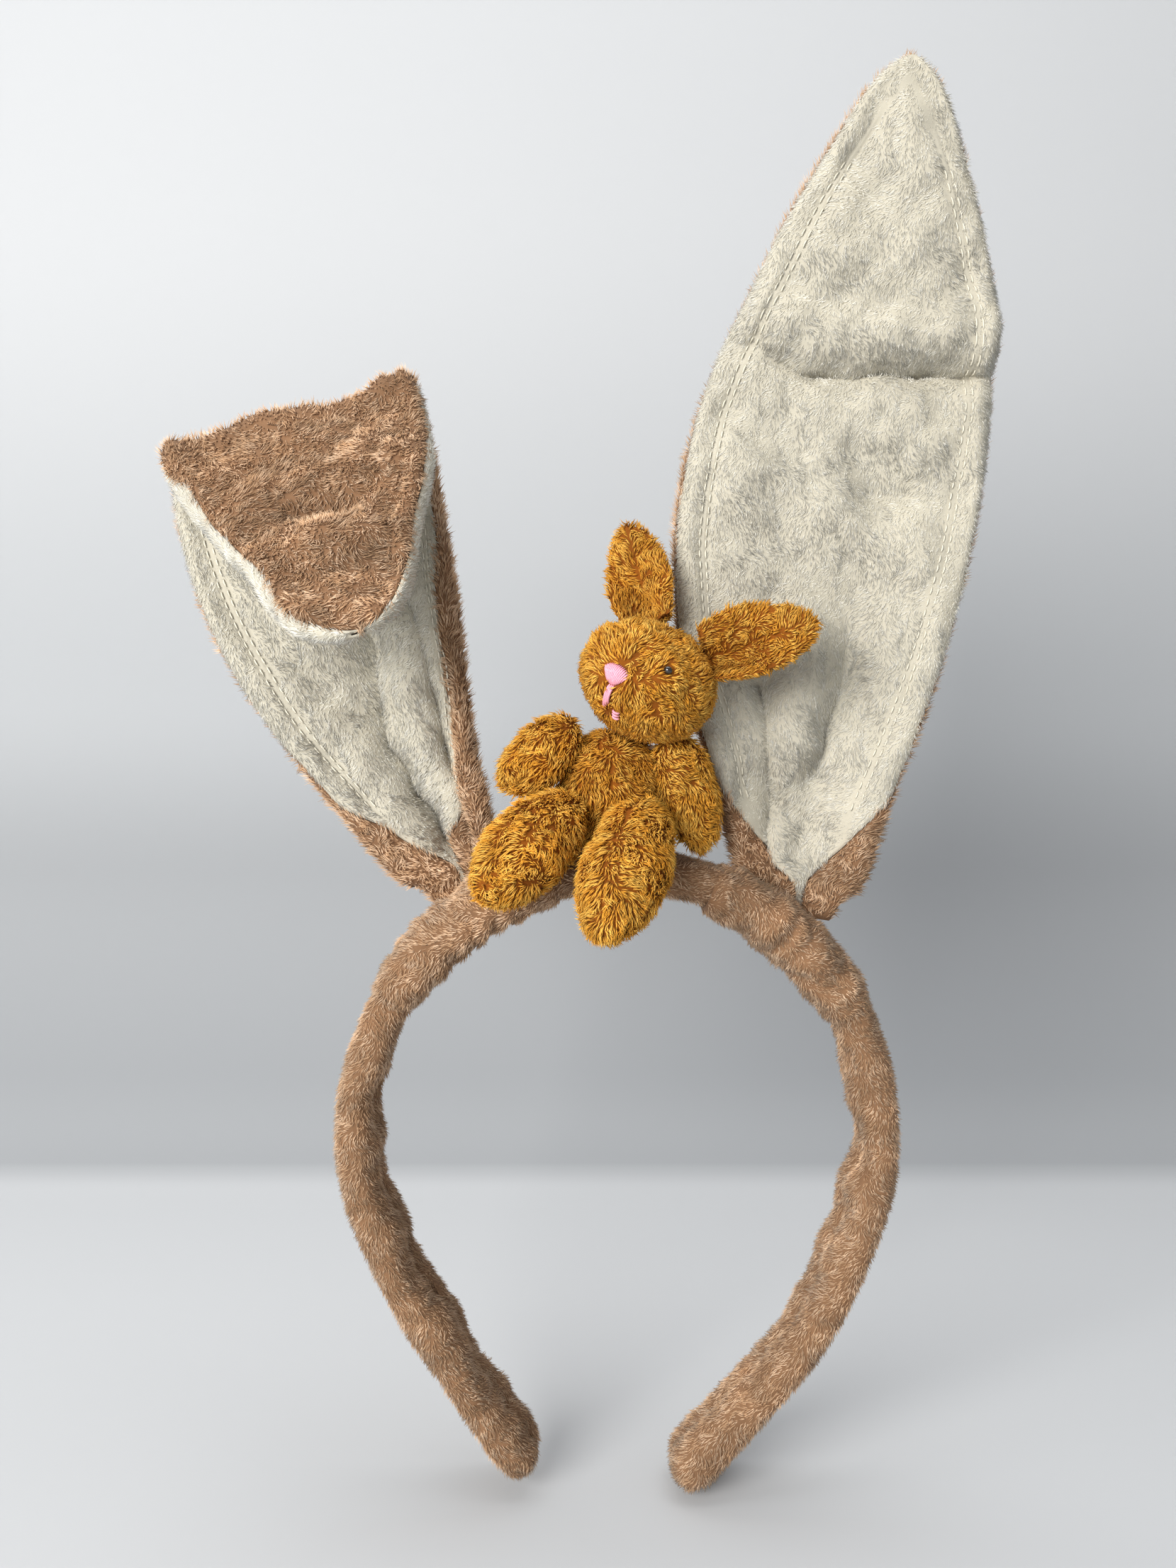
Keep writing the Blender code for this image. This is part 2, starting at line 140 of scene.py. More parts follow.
class Cloth:
    """Vertices, faces, painting values and map places of one piece while it is being built."""

    def __init__(self):
        self.points, self.pile, self.tone, self.weight = [], [], [], []
        self.faces, self.maps = {3: [], 4: []}, {3: [], 4: []}
        self.count = 0

    def add(self, points, pile, tone, weight, faces, maps):
        """faces and maps hold, for 3 and 4 corners, corner indices and their places on the map."""
        self.points.append(points)
        self.pile.append(np.broadcast_to(pile, len(points)))
        self.tone.append(np.broadcast_to(tone, len(points)))
        self.weight.append(np.broadcast_to(weight, len(points)))
        for corners in faces:
            self.faces[corners].append(faces[corners] + self.count)
            self.maps[corners].append(maps[corners])
        self.count += len(points)

    def mesh(self, name, finish):
        points = np.concatenate(self.points)
        mesh = bpy.data.meshes.new(name)
        mesh.vertices.add(len(points))
        mesh.vertices.foreach_set("co", (points * MM).astype(np.float32).ravel())
        corners, starts, totals, places = [], [], [], []
        at = 0
        for sides in (3, 4):
            if not self.faces[sides]:
                continue
            faces = np.concatenate(self.faces[sides])
            corners.append(faces.ravel())
            places.append(np.concatenate(self.maps[sides]).reshape(-1, 2))
            starts.append(at + sides * np.arange(len(faces)))
            totals.append(np.full(len(faces), sides))
            at += faces.size
        mesh.loops.add(at)
        mesh.loops.foreach_set("vertex_index", np.concatenate(corners).astype(np.int32))
        starts = np.concatenate(starts)
        mesh.polygons.add(len(starts))
        mesh.polygons.foreach_set("loop_start", starts.astype(np.int32))
        mesh.polygons.foreach_set("loop_total", np.concatenate(totals).astype(np.int32))
        mesh.update(calc_edges=True)
        mesh.shade_smooth()
        layer = mesh.uv_layers.new(name="OFBake")
        layer.data.foreach_set("uv", np.concatenate(places).astype(np.float32).ravel())
        for label, values in (("pile", self.pile), ("tone", self.tone)):
            attribute = mesh.attributes.new(label, "FLOAT", "POINT")
            attribute.data.foreach_set("value", np.concatenate(values).astype(np.float32))
        mesh.materials.append(finish)
        mesh.validate()
        return linked(name, mesh)


def linked(name, data):
    """A new object in the scene."""
    made = bpy.data.objects.new(name, data)
    bpy.context.scene.collection.objects.link(made)
    return made


BASE_MAP = (0.005, 0.005, 0.99, 0.34)  # place on the map of the cloth itself
PILE_MAP = (0.005, 0.36, 0.99, 0.63)  # of its tufts
CAP_MAP = np.array(((0.0, 0.0), (0.004, 0.0), (0.004, 0.004), (0.0, 0.004)))  # and of its ends


def tube_faces(rows, columns):
    """Quads of a tube of points, ring after ring, with their places on the map."""
    i, j = np.divmod(np.arange((rows - 1) * columns), columns)
    k = (j + 1) % columns
    corners = ((i, j), (i, k), (i + 1, k), (i + 1, j))
    quads = np.stack([row * columns + column for row, column in corners], 1)
    u = BASE_MAP[0] + BASE_MAP[2] * np.stack((j, j + 1, j + 1, j), 1) / columns
    v = BASE_MAP[1] + BASE_MAP[3] * np.stack((i, i, i + 1, i + 1), 1) / (rows - 1)
    return quads, np.stack((u, v), 2)


def fan_faces(rows, columns):
    """Triangles that close both ends of a tube, each to a point that comes after its rings."""
    j = np.arange(columns)
    k = (j + 1) % columns
    start = (rows - 1) * columns
    first = np.stack((k, j, np.full(columns, rows * columns)), 1)
    last = np.stack((start + j, start + k, np.full(columns, rows * columns + 1)), 1)
    return np.concatenate((first, last))


def inside_out(points, quads):
    """Whether the closed body that quads make has its faces turned inwards."""
    a, b, c, d = (points[quads[:, k]] for k in range(4))
    return np.einsum("ij,ij->", a, np.cross(b, c) + np.cross(c, d)) < 0


def add_loft(cloth, rings, weight=0.0, ends="strip"):
    """A closed body from rings (rows, columns, 3). ends closes each end ring by pairing its two
    halves ("strip") or with a fan to its middle ("fan")."""
    rows, columns, _ = rings.shape
    points = rings.reshape(-1, 3)
    quads, maps = tube_faces(rows, columns)
    turn_over = inside_out(points, quads)
    if ends == "strip":
        j = np.arange(columns // 2 - 1)
        cap = np.stack((j + 1, j, columns - 1 - j, columns - 2 - j), 1)
        caps = np.concatenate((cap, cap[:, ::-1] + (rows - 1) * columns))
        faces = {4: np.concatenate((quads, caps))}
        places = {4: np.concatenate((maps, np.broadcast_to(CAP_MAP, (len(caps), 4, 2))))}
    else:
        points = np.concatenate((points, np.stack((rings[0].mean(0), rings[-1].mean(0)))))
        faces = {4: quads, 3: fan_faces(rows, columns)}
        places = {4: maps, 3: np.broadcast_to(CAP_MAP[:3], (2 * columns, 3, 2))}
        if not np.isscalar(weight):
            weight = np.concatenate((weight, weight[:1], weight[-1:]))
    if turn_over:
        faces = {sides: one[:, ::-1] for sides, one in faces.items()}
        places = {sides: one[:, ::-1] for sides, one in places.items()}
    cloth.add(points, 0.0, CLOTH_TONE, weight, faces, places)


def add_ring_body(cloth, whole):
    """A ring-shaped body: closed both ways round. The last row of whole repeats the first."""
    rows, columns, _ = whole.shape
    points = whole[:-1].reshape(-1, 3)
    quads, maps = tube_faces(rows, columns)
    quads = quads % len(points)
    if inside_out(points, quads):
        quads, maps = quads[:, ::-1], maps[:, ::-1]
    cloth.add(points, 0.0, CLOTH_TONE, 0.0, {4: quads}, {4: maps})


def add_thread(cloth, path, radius, sides=6, weight=0.0):
    """A round thread along path (n, 3), tapered a little at its ends."""
    path = np.asarray(path, float)
    ahead = unit(np.gradient(path, axis=0))
    side = unit(np.cross(ahead, np.array((0.3, 0.5, 0.81))))
    up = np.cross(ahead, side)
    t = np.linspace(0, 1, len(path))
    size = radius * np.clip(4 * np.minimum(t, 1 - t) + 0.55, 0, 1)
    angle = turn_steps(sides)
    ring = side[:, None] * np.cos(angle)[None, :, None] + up[:, None] * np.sin(angle)[None, :, None]
    add_loft(cloth, path[:, None] + ring * size[:, None, None], weight, ends="fan")


def scatter(rng, surface, normals, density, extra=()):
    """Random places on an open grid surface (rows, columns, 3): points, their normals, the
    directions along rows and columns, and the values of each array in extra."""
    a, b = surface[:-1, :-1], surface[:-1, 1:]
    c, d = surface[1:, 1:], surface[1:, :-1]
    area = 0.5 * np.linalg.norm(np.cross(c - a, d - b), axis=-1).ravel()
    total = area.cumsum()
    count = int(total[-1] * density)
    want = (np.arange(count) + rng.random(count)) / count * total[-1]
    cell = np.minimum(np.searchsorted(total, want), len(area) - 1)
    i, j = np.divmod(cell, surface.shape[1] - 1)
    u, v = rng.random(count), rng.random(count)

    def mixed(grid):
        one = grid[i, j] * ((1 - u) * (1 - v))[:, None] + grid[i, j + 1] * (u * (1 - v))[:, None]
        return one + grid[i + 1, j + 1] * (u * v)[:, None] + grid[i + 1, j] * ((1 - u) * v)[:, None]

    values = [mixed(one[..., None])[:, 0] for one in extra]
    return mixed(surface), unit(mixed(normals)), unit(b - a)[i, j], unit(d - a)[i, j], values


def add_tufts(
    cloth, rng, roots, normals, nap, length, width, lie, lean, curl=0.5, bends=False, weight=0.0, painted_shade=0.0
):
    """Tapered locks of pile that lean together in clumps. nap is the way they lie, lie how far they
    lean that way, lean how far a clump goes its own way, curl how far the tips turn over, bends
    whether each lock has a bend half way up, and the last argument how far painted shade darkens
    each lock towards its root colour, as if it lay deep in its neighbours' shade."""
    count = len(roots)
    own = np.stack([ripple(roots, CLUMP_SIZE, 300 + k) for k in range(3)], 1)
    nap = unit(unit(nap) + lean * own)
    nap = unit(nap - normals * np.einsum("ij,ij->i", nap, normals)[:, None])
    clump = smooth(0.5 + 0.7 * ripple(roots, CLUMP_SIZE * 1.3, 310))
    tone = np.clip(0.5 * rng.random(count) + 0.5 * clump, 0, 1)
    stray = unit(rng.normal(size=(count, 3)))
    length = length * rng.uniform(0.7, 1.2, count)[:, None]
    width = width * rng.uniform(0.75, 1.3, count)[:, None]
    first = unit(normals + nap * lie + stray * 0.3)
    second = unit(normals * 0.6 + nap * (lie + curl) + stray * 0.4)
    base = roots - normals * ROOT_DEPTH
    middle = base + first * length * 0.55
    tip = middle + second * length * 0.5
    side = unit(np.cross(first, normals + stray * 0.1 + 1e-6))
    up = np.cross(side, first)
    spin = rng.uniform(0, 2 * math.pi, count)
    rings = []
    for centre, size in ((base, 0.5), (middle, 0.42))[: 2 if bends else 1]:
        for k in range(3):
            angle = spin + k * 2 * math.pi / 3
            offset = side * np.cos(angle)[:, None] + up * np.sin(angle)[:, None] * 0.7
            rings.append(centre + offset * width * size)
    points = np.stack((*rings, tip), 1)
    each = points.shape[1]
    start = np.arange(count)[:, None] * each
    top = each - 4
    ends = ((top, top + 1, top + 3), (top + 1, top + 2, top + 3), (top + 2, top, top + 3), (2, 1, 0))
    faces = {3: np.concatenate([start + np.array(corners) for corners in ends])}
    if bends:
        walls = ((0, 1, 4, 3), (1, 2, 5, 4), (2, 0, 3, 5))
        faces[4] = np.concatenate([start + np.array(corners) for corners in walls])
    across = math.ceil(math.sqrt(count * PILE_MAP[2] / PILE_MAP[3]))
    cell = np.array((PILE_MAP[2] / across, PILE_MAP[3] / math.ceil(count / across)))
    corner = np.stack((np.arange(count) % across, np.arange(count) // across), 1)
    local = [(x, level) for level in (0.0, 0.55)[: 2 if bends else 1] for x in (0.1, 0.5, 0.9)]
    heights = (*(level for _, level in local), 1.0)
    local = np.array((*local, (0.5, 0.95))) * 0.94
    spots = (np.array(PILE_MAP[:2]) + (corner[:, None, :] + local) * cell).reshape(-1, 2)
    # Each point's pile height, lowered where painted shade darkens the lock towards its root colour
    cloth.add(
        points.reshape(-1, 3),
        np.outer(1 - np.broadcast_to(painted_shade, count), heights).ravel(),
        np.repeat(tone, each),
        np.repeat(np.broadcast_to(weight, count), each),
        faces,
        {sides: spots[one] for sides, one in faces.items()},
    )


def moved(cloth, change):
    """Every point of the cloth so far put through change(points, weights)."""
    sizes = [len(one) for one in cloth.points]
    done = change(np.concatenate(cloth.points), np.concatenate(cloth.weight))
    cloth.points = np.split(done, np.cumsum(sizes)[:-1])


def closed(rings):
    """A grid with its first column repeated after its last."""
    return np.concatenate((rings, rings[:, :1]), 1)


def surface_normals(surface, inner):
    """Unit normals of a grid surface, pointing away from inner, a grid or one point."""
    across = np.gradient(surface, axis=1)
    along = np.gradient(surface, axis=0)
    normal = unit(np.cross(across, along))
    flip = np.einsum("ijk,ijk->ij", normal, surface - inner).sum() < 0
    return -normal if flip else normal


def finish_piece(cloth, name, finish, slot, body, *replaced):
    """The piece that cloth holds, which rides on body and stands for the CAD nodes replaced."""
    piece = cloth.mesh(name, finish)
    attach(piece, body)
    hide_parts(*replaced)
    return piece


# ---- materials


def node_tree(name):
    made = bpy.data.materials.new(name)
    made.use_nodes = True
    return made, made.node_tree, made.node_tree.nodes["Principled BSDF"]


def feed(tree, node, values):
    """Sets the inputs that values names, or links them where the value is a socket."""
    for key, value in values.items():
        socket = node.inputs[key]
        if hasattr(value, "links"):
            tree.links.new(value, socket)
        else:
            socket.default_value = (*value, 1.0) if socket.type == "RGBA" else value


def noise(tree, scale, detail=2.0, rough=0.5, stretch=None):
    """A noise value over the object, whose features are 1 / scale metres across."""
    source = tree.nodes.new("ShaderNodeTexCoord").outputs["Object"]
    if stretch:
        mapping = tree.nodes.new("ShaderNodeMapping")
        feed(tree, mapping, {"Vector": source, "Scale": stretch})
        source = mapping.outputs["Vector"]
    made = tree.nodes.new("ShaderNodeTexNoise")
    feed(tree, made, {"Vector": source, "Scale": scale, "Detail": detail, "Roughness": rough})
    return made.outputs["Fac"]


def maths(tree, kind, first, second, third=0.5):
    made = tree.nodes.new("ShaderNodeMath")
    made.operation = kind
    feed(tree, made, {0: first, 1: second, 2: third})
    return made.outputs[0]


def mixed_colour(tree, share, first, second, kind="MIX"):
    made = tree.nodes.new("ShaderNodeMix")
    made.data_type = "RGBA"
    made.blend_type = kind
    feed(tree, made, {0: share, 6: first, 7: second})
    return made.outputs[2]


def attribute(tree, name):
    made = tree.nodes.new("ShaderNodeAttribute")
    made.attribute_name = name
    return made.outputs["Fac"]


def plush(name, root, tip, pale, sheen, patch, contrast, tint=(1.0, 1.0, 1.0)):
    """Pile fabric: painted shade makes it dark at the roots and in the cloth between them, and it is
    paler at the tips, with locks and patches that differ. patch is how many patches there are in
    a metre, contrast how far they differ, tint the sheen's."""
    made, tree, shader = node_tree(name)
    # Painted shade: the colour darkens from the tips down to the roots
    height = maths(tree, "POWER", attribute(tree, "pile"), 0.75)
    lock = maths(tree, "MULTIPLY", maths(tree, "POWER", attribute(tree, "tone"), 2.0), height)
    locks = mixed_colour(tree, lock, mixed_colour(tree, height, root, tip), pale)
    shade = maths(tree, "MULTIPLY_ADD", noise(tree, patch, 3.0, 0.6), contrast, 1.0 - contrast / 2)
    grey = tree.nodes.new("ShaderNodeCombineColor")
    feed(tree, grey, {0: shade, 1: shade, 2: shade})
    values = {
        "Base Color": mixed_colour(tree, 1.0, locks, grey.outputs[0], "MULTIPLY"),
        "Roughness": 0.9,
        "Sheen Weight": sheen,
        "Sheen Roughness": 0.45,
        "Sheen Tint": tint,
        "Specular IOR Level": 0.2,
    }
    feed(tree, shader, values)
    return made


def spun(name, dark, light, scale, rough, stretch, relief, metallic=0.0):
    """Thread, fibre or drawn material: fine streaks between two colours."""
    made, tree, shader = node_tree(name)
    streak = noise(tree, scale, 3.0, 0.6, stretch)
    uneven = tree.nodes.new("ShaderNodeBump")
    feed(tree, uneven, {"Strength": relief, "Distance": 0.0004, "Height": streak})
    feed(tree, shader, {"Base Color": mixed_colour(tree, streak, dark, light), "Roughness": rough})
    feed(tree, shader, {"Metallic": metallic, "Normal": uneven.outputs["Normal"]})
    return made


def bead_material():
    made, tree, shader = node_tree("glossy_bead")
    colour = mixed_colour(tree, noise(tree, 2500.0), (0.004, 0.003, 0.003), (0.02, 0.015, 0.012))
    feed(tree, shader, {"Base Color": colour, "Roughness": 0.12, "Coat Weight": 0.6, "Coat Roughness": 0.05})
    return made


# Pile colours: at the roots, darkened by painted shade; at the tips; and of the paler locks
TAN_COLOURS = ((0.19, 0.102, 0.052), (0.585, 0.36, 0.20), (0.95, 0.71, 0.50))
GOLD_COLOURS = ((0.20, 0.058, 0.003), (0.74, 0.335, 0.03), (0.96, 0.61, 0.13))
TAN = plush("tan_pile", *TAN_COLOURS, 0.12, 110.0, 1.0, (1.0, 0.9, 0.8))
CREAM = plush("cream_pile", (0.47, 0.435, 0.35), (0.71, 0.682, 0.597), (0.90, 0.88, 0.81), 0.1, 60.0, 0.3)
GOLD = plush("gold_pile", *GOLD_COLOURS, 0.06, 160.0, 0.9, (1.0, 0.7, 0.3))
PINK = spun("satin_stitch", (0.62, 0.17, 0.27), (0.95, 0.52, 0.60), 900.0, 0.4, (6, 1, 1), 0.5)
THREAD = spun("sewing_thread", (0.20, 0.10, 0.05), (0.42, 0.26, 0.14), 1400.0, 0.6, (1, 1, 4), 0.5)
STUFFING = spun("polyester_fill", (0.72, 0.72, 0.70), (0.95, 0.95, 0.93), 500.0, 0.9, (1, 1, 1), 0.8)
WIRE = spun("drawn_wire", (0.40, 0.40, 0.42), (0.62, 0.62, 0.64), 1500.0, 0.3, (1, 1, 0.1), 0.1, 1.0)
PLASTIC = spun("moulded_plastic", (0.78, 0.76, 0.70), (0.86, 0.84, 0.79), 180.0, 0.4, (1, 1, 1), 0.15)
STITCH = spun("cream_thread", (0.56, 0.52, 0.41), (0.74, 0.70, 0.59), 1500.0, 0.6, (1, 1, 1), 0.4)
BEAD = bead_material()


# ---- headband


def direction_at(side, degrees):
    angle = math.radians(degrees)
    return np.array((side * math.sin(angle), 0.0, math.cos(angle)))


def half_centreline(side, runs):
    """Stations (point, outward direction) from beside the crown to the tip of one arm."""
    point = np.array((side * BAND_PIECE / 2, 0.0, SLEEVE_THICK / 2))
    heading = 0.0
    stations = []
    for count, turn, length in runs:
        for _ in range(count):
            stations.append((point, direction_at(side, heading + turn / 2)))
            heading += turn
            ahead = math.radians(heading)
            point = point + length * np.array((side * math.cos(ahead), 0.0, -math.sin(ahead)))
    stations.append((point, direction_at(side, heading)))
    return stations


def eased(values, keys, at):
    """Catmull-Rom interpolation of values (n, 3) given at keys."""
    k = np.clip(np.searchsorted(keys, at, side="right") - 1, 0, len(keys) - 2)
    t = ((at - keys[k]) / (keys[k + 1] - keys[k]))[:, None]
    padded = np.concatenate((2 * values[:1] - values[1:2], values, 2 * values[-1:] - values[-2:-1]))
    p0, p1, p2, p3 = (padded[k + n] for n in range(4))
    squared = (2 * p0 - 5 * p1 + 4 * p2 - p3) * t**2
    cubed = (3 * p1 - p0 - 3 * p2 + p3) * t**3
    return 0.5 * (2 * p1 + (p2 - p0) * t + squared + cubed)


LEFT_HALF = half_centreline(-1, LEFT_RUNS)
RIGHT_HALF = half_centreline(1, RIGHT_RUNS)
STATIONS = LEFT_HALF[::-1] + RIGHT_HALF
LINE = np.array([point for point, _ in STATIONS])
OUTWARD = np.array([way for _, way in STATIONS])
KEYS = np.concatenate(([0.0], np.linalg.norm(np.diff(LINE, axis=0), axis=1).cumsum()))
BAND_LENGTH = KEYS[-1]


def band_frame(at):
    """Centreline points and outward directions at lengths along the band from its left tip."""
    return eased(LINE, KEYS, at), unit(eased(OUTWARD, KEYS, at))


def band_ring(at, angles, thick, wide, lift, power=2.6):
    """Rings of a rounded-rectangle section along the band. lift pushes them out."""
    centre, out = band_frame(at)
    c, s = np.cos(angles), np.sin(angles)
    reach_out = np.sign(c) * np.abs(c) ** (2 / power)
    reach_side = np.sign(s) * np.abs(s) ** (2 / power)
    section_out = reach_out[None, :] * thick[:, None] / 2
    section_side = reach_side[None, :] * wide[:, None] / 2
    size = np.sqrt(section_out**2 + section_side**2) + 1e-6
    grow = 1 + lift / size
    out_way = (section_out * grow)[..., None] * out[:, None, :]
    return centre[:, None, :] + out_way + (section_side * grow)[..., None] * np.array((0.0, 1.0, 0.0))


def band_pile(cloth, rng, rings, inner, pile, swirl):
    """Pile all round a closed sleeve, lying towards the tips and outwards."""
    density, length, width = pile
    around = closed(rings)
    roots, ways, across, along, _ = scatter(rng, around, surface_normals(around, closed(inner)), density)
    down = along * np.sign(-along[:, 2:3] + 1e-6)
    nap = down + across * (swirl * ripple(roots, 22.0, 5) + 0.7 * ripple(roots, 7.0, 6))[:, None]
    add_tufts(cloth, rng, roots, ways, nap, length, width, lie=1.0, lean=0.32)


def make_sleeve():
    """The loose plush tube over the band, gathered on its inner side and closed at its tips."""
    rows, columns, closing = 300, 44, 7.0
    rng = np.random.default_rng(11)
    at = np.linspace(0, BAND_LENGTH, rows)
    angles = turn_steps(columns)
    tip = np.minimum(at, BAND_LENGTH - at)
    close = np.sqrt(np.clip(1 - (1 - np.clip(tip / closing, 0, 1)) ** 2, 0.004, 1))
    thick, wide = SLEEVE_THICK * close, SLEEVE_WIDE * (0.25 * close + 0.75 * np.sqrt(close))
    plain = band_ring(at, angles, thick, wide, 0.0)
    inside = bump(np.cos(angles), -1.0, 0.7)[None, :]
    loose = (0.25 + 0.75 * smooth((tip - 35.0) / 45.0))[:, None]
    gathers = ripple(plain * (1.0, 0.4, 1.0), 19.0, 21) * inside * 1.35 * loose
    pleats = ripple(plain * (1.0, 0.3, 1.0), 7.0, 23) * (0.1 + 0.3 * inside)
    slack = ripple(plain, 40.0, 25) * 0.35
    seam = -1.1 * bump(np.sin(angles), 0.0, 0.12)[None, :] * (np.cos(angles) < 0)[None, :]
    lift = (gathers + pleats + slack + seam) * np.clip(close, 0.15, 1)[:, None] - 0.3
    rings = band_ring(at, angles, thick, wide, lift)
    cloth = Cloth()
    add_loft(cloth, rings, ends="fan")
    inner = band_ring(at, angles, thick * 0.5, wide * 0.5, 0.0)
    band_pile(cloth, rng, rings, inner, SLEEVE_PILE, 0.6)
    stands_for = ("band_sleeve", "left_end_tuck", "right_end_tuck")
    sleeve = finish_piece(cloth, "band_sleeve_plush", TAN, "tan_plush", "band", *stands_for)


def make_collar(side, station, towards_tip, towards_crown):
    """The tail of an ear's back fabric, pleated round the sleeve, that reaches so far each way."""
    left = side == "left"
    rows, columns = 46, 48
    rng = np.random.default_rng(31 if left else 33)
    half = LEFT_HALF if left else RIGHT_HALF
    middle = KEYS[np.argmin(np.linalg.norm(LINE - half[station][0], axis=1))]
    t = np.linspace(-1, 1, rows)
    before, after = (towards_tip, towards_crown) if left else (towards_crown, towards_tip)
    at = middle + t * np.where(t < 0, before, after)
    angles = turn_steps(columns)
    swell = (1 - np.abs(t) ** 2.5) ** 0.5
    grow = 0.2 + 2.6 * np.clip(swell, 0, 1)
    thick, wide = SLEEVE_THICK + grow, SLEEVE_WIDE + grow
    plain = band_ring(at, angles, thick, wide, 0.0)
    slant = at[:, None] * 0.9 + 4.0 * np.sin(angles)[None, :] + 1.5 * ripple(plain, 24.0, 41)
    pleats = 0.55 * np.sin(slant) * swell[:, None]
    lumps = 0.5 * ripple(plain, 11.0, 43) * swell[:, None]
    rings = band_ring(at, angles, thick, wide, pleats + lumps)
    inner = band_ring(at, angles, SLEEVE_THICK + 0 * at, SLEEVE_WIDE + 0 * at, -0.4)
    cloth = Cloth()
    add_ring_body(cloth, np.concatenate((rings, inner[::-1], rings[:1])))
    middle_line = band_ring(at, angles, thick * 0.5, wide * 0.5, 0.0)
    band_pile(cloth, rng, rings, middle_line, COLLAR_PILE, 0.8)
    finish_piece(cloth, f"{side}_ear_tail_wrap", TAN, "tan_plush", "band", f"{side}_ear_collar")


# ---- big ears


class Ear:
    """What differs between the two ears. Angles are in degrees."""

    def __init__(self, side, lean, yaw, crease, fold, curl, soft):
        self.side, self.lean, self.yaw = side, lean, yaw
        self.crease, self.fold = crease, fold  # where the crease is, as a share, and its angle
        self.curl = curl  # how far the right half turns in, as a share of its width
        self.soft = soft  # how far the bend reaches either side of the crease
        joint = next(one for one in frame["joints"] if one["name"] == f"{side}_ear_tilt")
        self.root = np.array(joint["pos_m"]) / MM

    def half_width(self, share):
        inside = np.clip(share, 0, 1)
        blunt, start = (0.3, 0.80) if self.side == "left" else (0.1, 0.88)
        power = np.where(inside < 0.5, 0.6, 0.75) - blunt * smooth((inside - start) / (0.99 - start))
        wide = EAR_HALF_WIDTH * np.sin(math.pi * inside) ** power
        flare = 11.0 * np.clip(1 - inside / 0.2, 0, 1) ** 2.5
        return wide + flare + np.where(share < 0, share * 90, 0)

    def middle(self, across, share):
        """Middle surface of the unfolded ear."""
        half = self.half_width(share)
        fade = np.clip(1 - share / self.crease, 0, 1)
        right = np.where(across > 0, 1 - self.curl * (1 + fade), 1.0)
        bow = -EAR_BOW * np.sin(math.pi * np.clip(share / EAR_BOW_END, 0, 1))
        cup = EAR_CUP * half * np.clip(fade, 0, 0.9)
        forward = -cup * across**2 + self.relief(across, share)
        height = share * EAR_LENGTH
        if self.side == "left":
            height = height - 6.5 * smooth((share - 0.7) / 0.29)
        return np.stack((half * across * right + bow, forward, height), -1)

    def relief(self, across, share):
        """Valleys (+) and ridges (-) of the whole ear, gathered towards its root."""
        low = smooth((0.52 - share) / 0.3) * smooth((share + 0.02) / 0.1)
        wander = 0.07 * np.sin(share * 25 + 0.6)
        if self.side == "left":
            deep = 7.0 * bump(across, -0.14 + 0.3 * share + wander, 0.24) * low
            ridge = -2.4 * bump(across, 0.32 + wander, 0.16) * low
            dip = 1.8 * bump(across, 0.56, 0.1) * low
            return deep + ridge + dip + 0.5 * np.sin(across * 9 + share * 20) * low
        root = smooth((0.2 - share) / 0.12)
        deep = 4.0 * bump(across, 0.36 - 0.4 * share + wander, 0.17) * low * (1 - root)
        deep = deep + 3.2 * bump(across, 0.0, 0.36) * root * smooth((share + 0.02) / 0.1)
        ridge = -3.4 * bump(across, -0.02 - 0.2 * share + 1.6 * wander, 0.15) * low * (1 - root)
        dip = 3.0 * bump(across, -0.42 + 0.3 * share - wander, 0.13) * low
        fold = 1.8 * bump(share, 0.47 + 0.06 * across, 0.03) * bump(across, 0.45, 0.35)
        line = self.crease_line(across)
        crease = 4.6 * bump(share, line, 0.024) - 4.6 * bump(share, line + 0.046, 0.032)
        return deep + ridge + dip + fold + crease * bump(across, 0.25, 0.95)

    def crease_line(self, across):
        """Where the crease crosses the ear: higher at its rims than in its middle."""
        return self.crease + 0.034 + 0.02 * across + 0.04 * smooth((-0.25 - across) / 0.7)

    def thickness(self, share):
        half = self.half_width(share)
        end = np.sqrt(np.clip(1 - (np.clip(share - 0.93, 0, 1) / 0.07) ** 2, 0.02, 1))
        start = 0.75 + 0.25 * smooth((share - EAR_BOTTOM) / 0.15)
        return np.minimum(3.0 * end * start, 0.6 * half)

    def seams(self, share):
        """How far behind the rim (+) or in front of it (-) the seam is, on each side."""
        wobble = 0.35 * np.sin(share * 31) + 0.25 * np.sin(share * 57 + 1)
        near = np.clip(1 - share / 0.13, 0, 1)
        half = self.half_width(share)
        pinch = half * (0.97 * near**1.3) + 1.0 * smooth((0.2 - share) / 0.1)
        left = 0.6 + wobble - pinch
        right = 0.6 - wobble - pinch
        if self.side == "left":
            right = right - 3.2 * smooth((self.crease - 0.02 - share) / 0.08) - 5.0 * bump(share, 0.22, 0.15)
            left = left + 3.0 * smooth((share - self.crease) / 0.1)
            right = right + 1.5 * smooth((share - self.crease) / 0.1)
        else:
            left = left - 1.8 * bump(share, 0.87, 0.06) - 1.6 * bump(share, 0.47, 0.09)
        return left, right

    def reach(self, share):
        """Length along the surface from the front's middle to the rim."""
        thick = self.thickness(share)
        return self.half_width(share) - thick + math.pi / 2 * thick

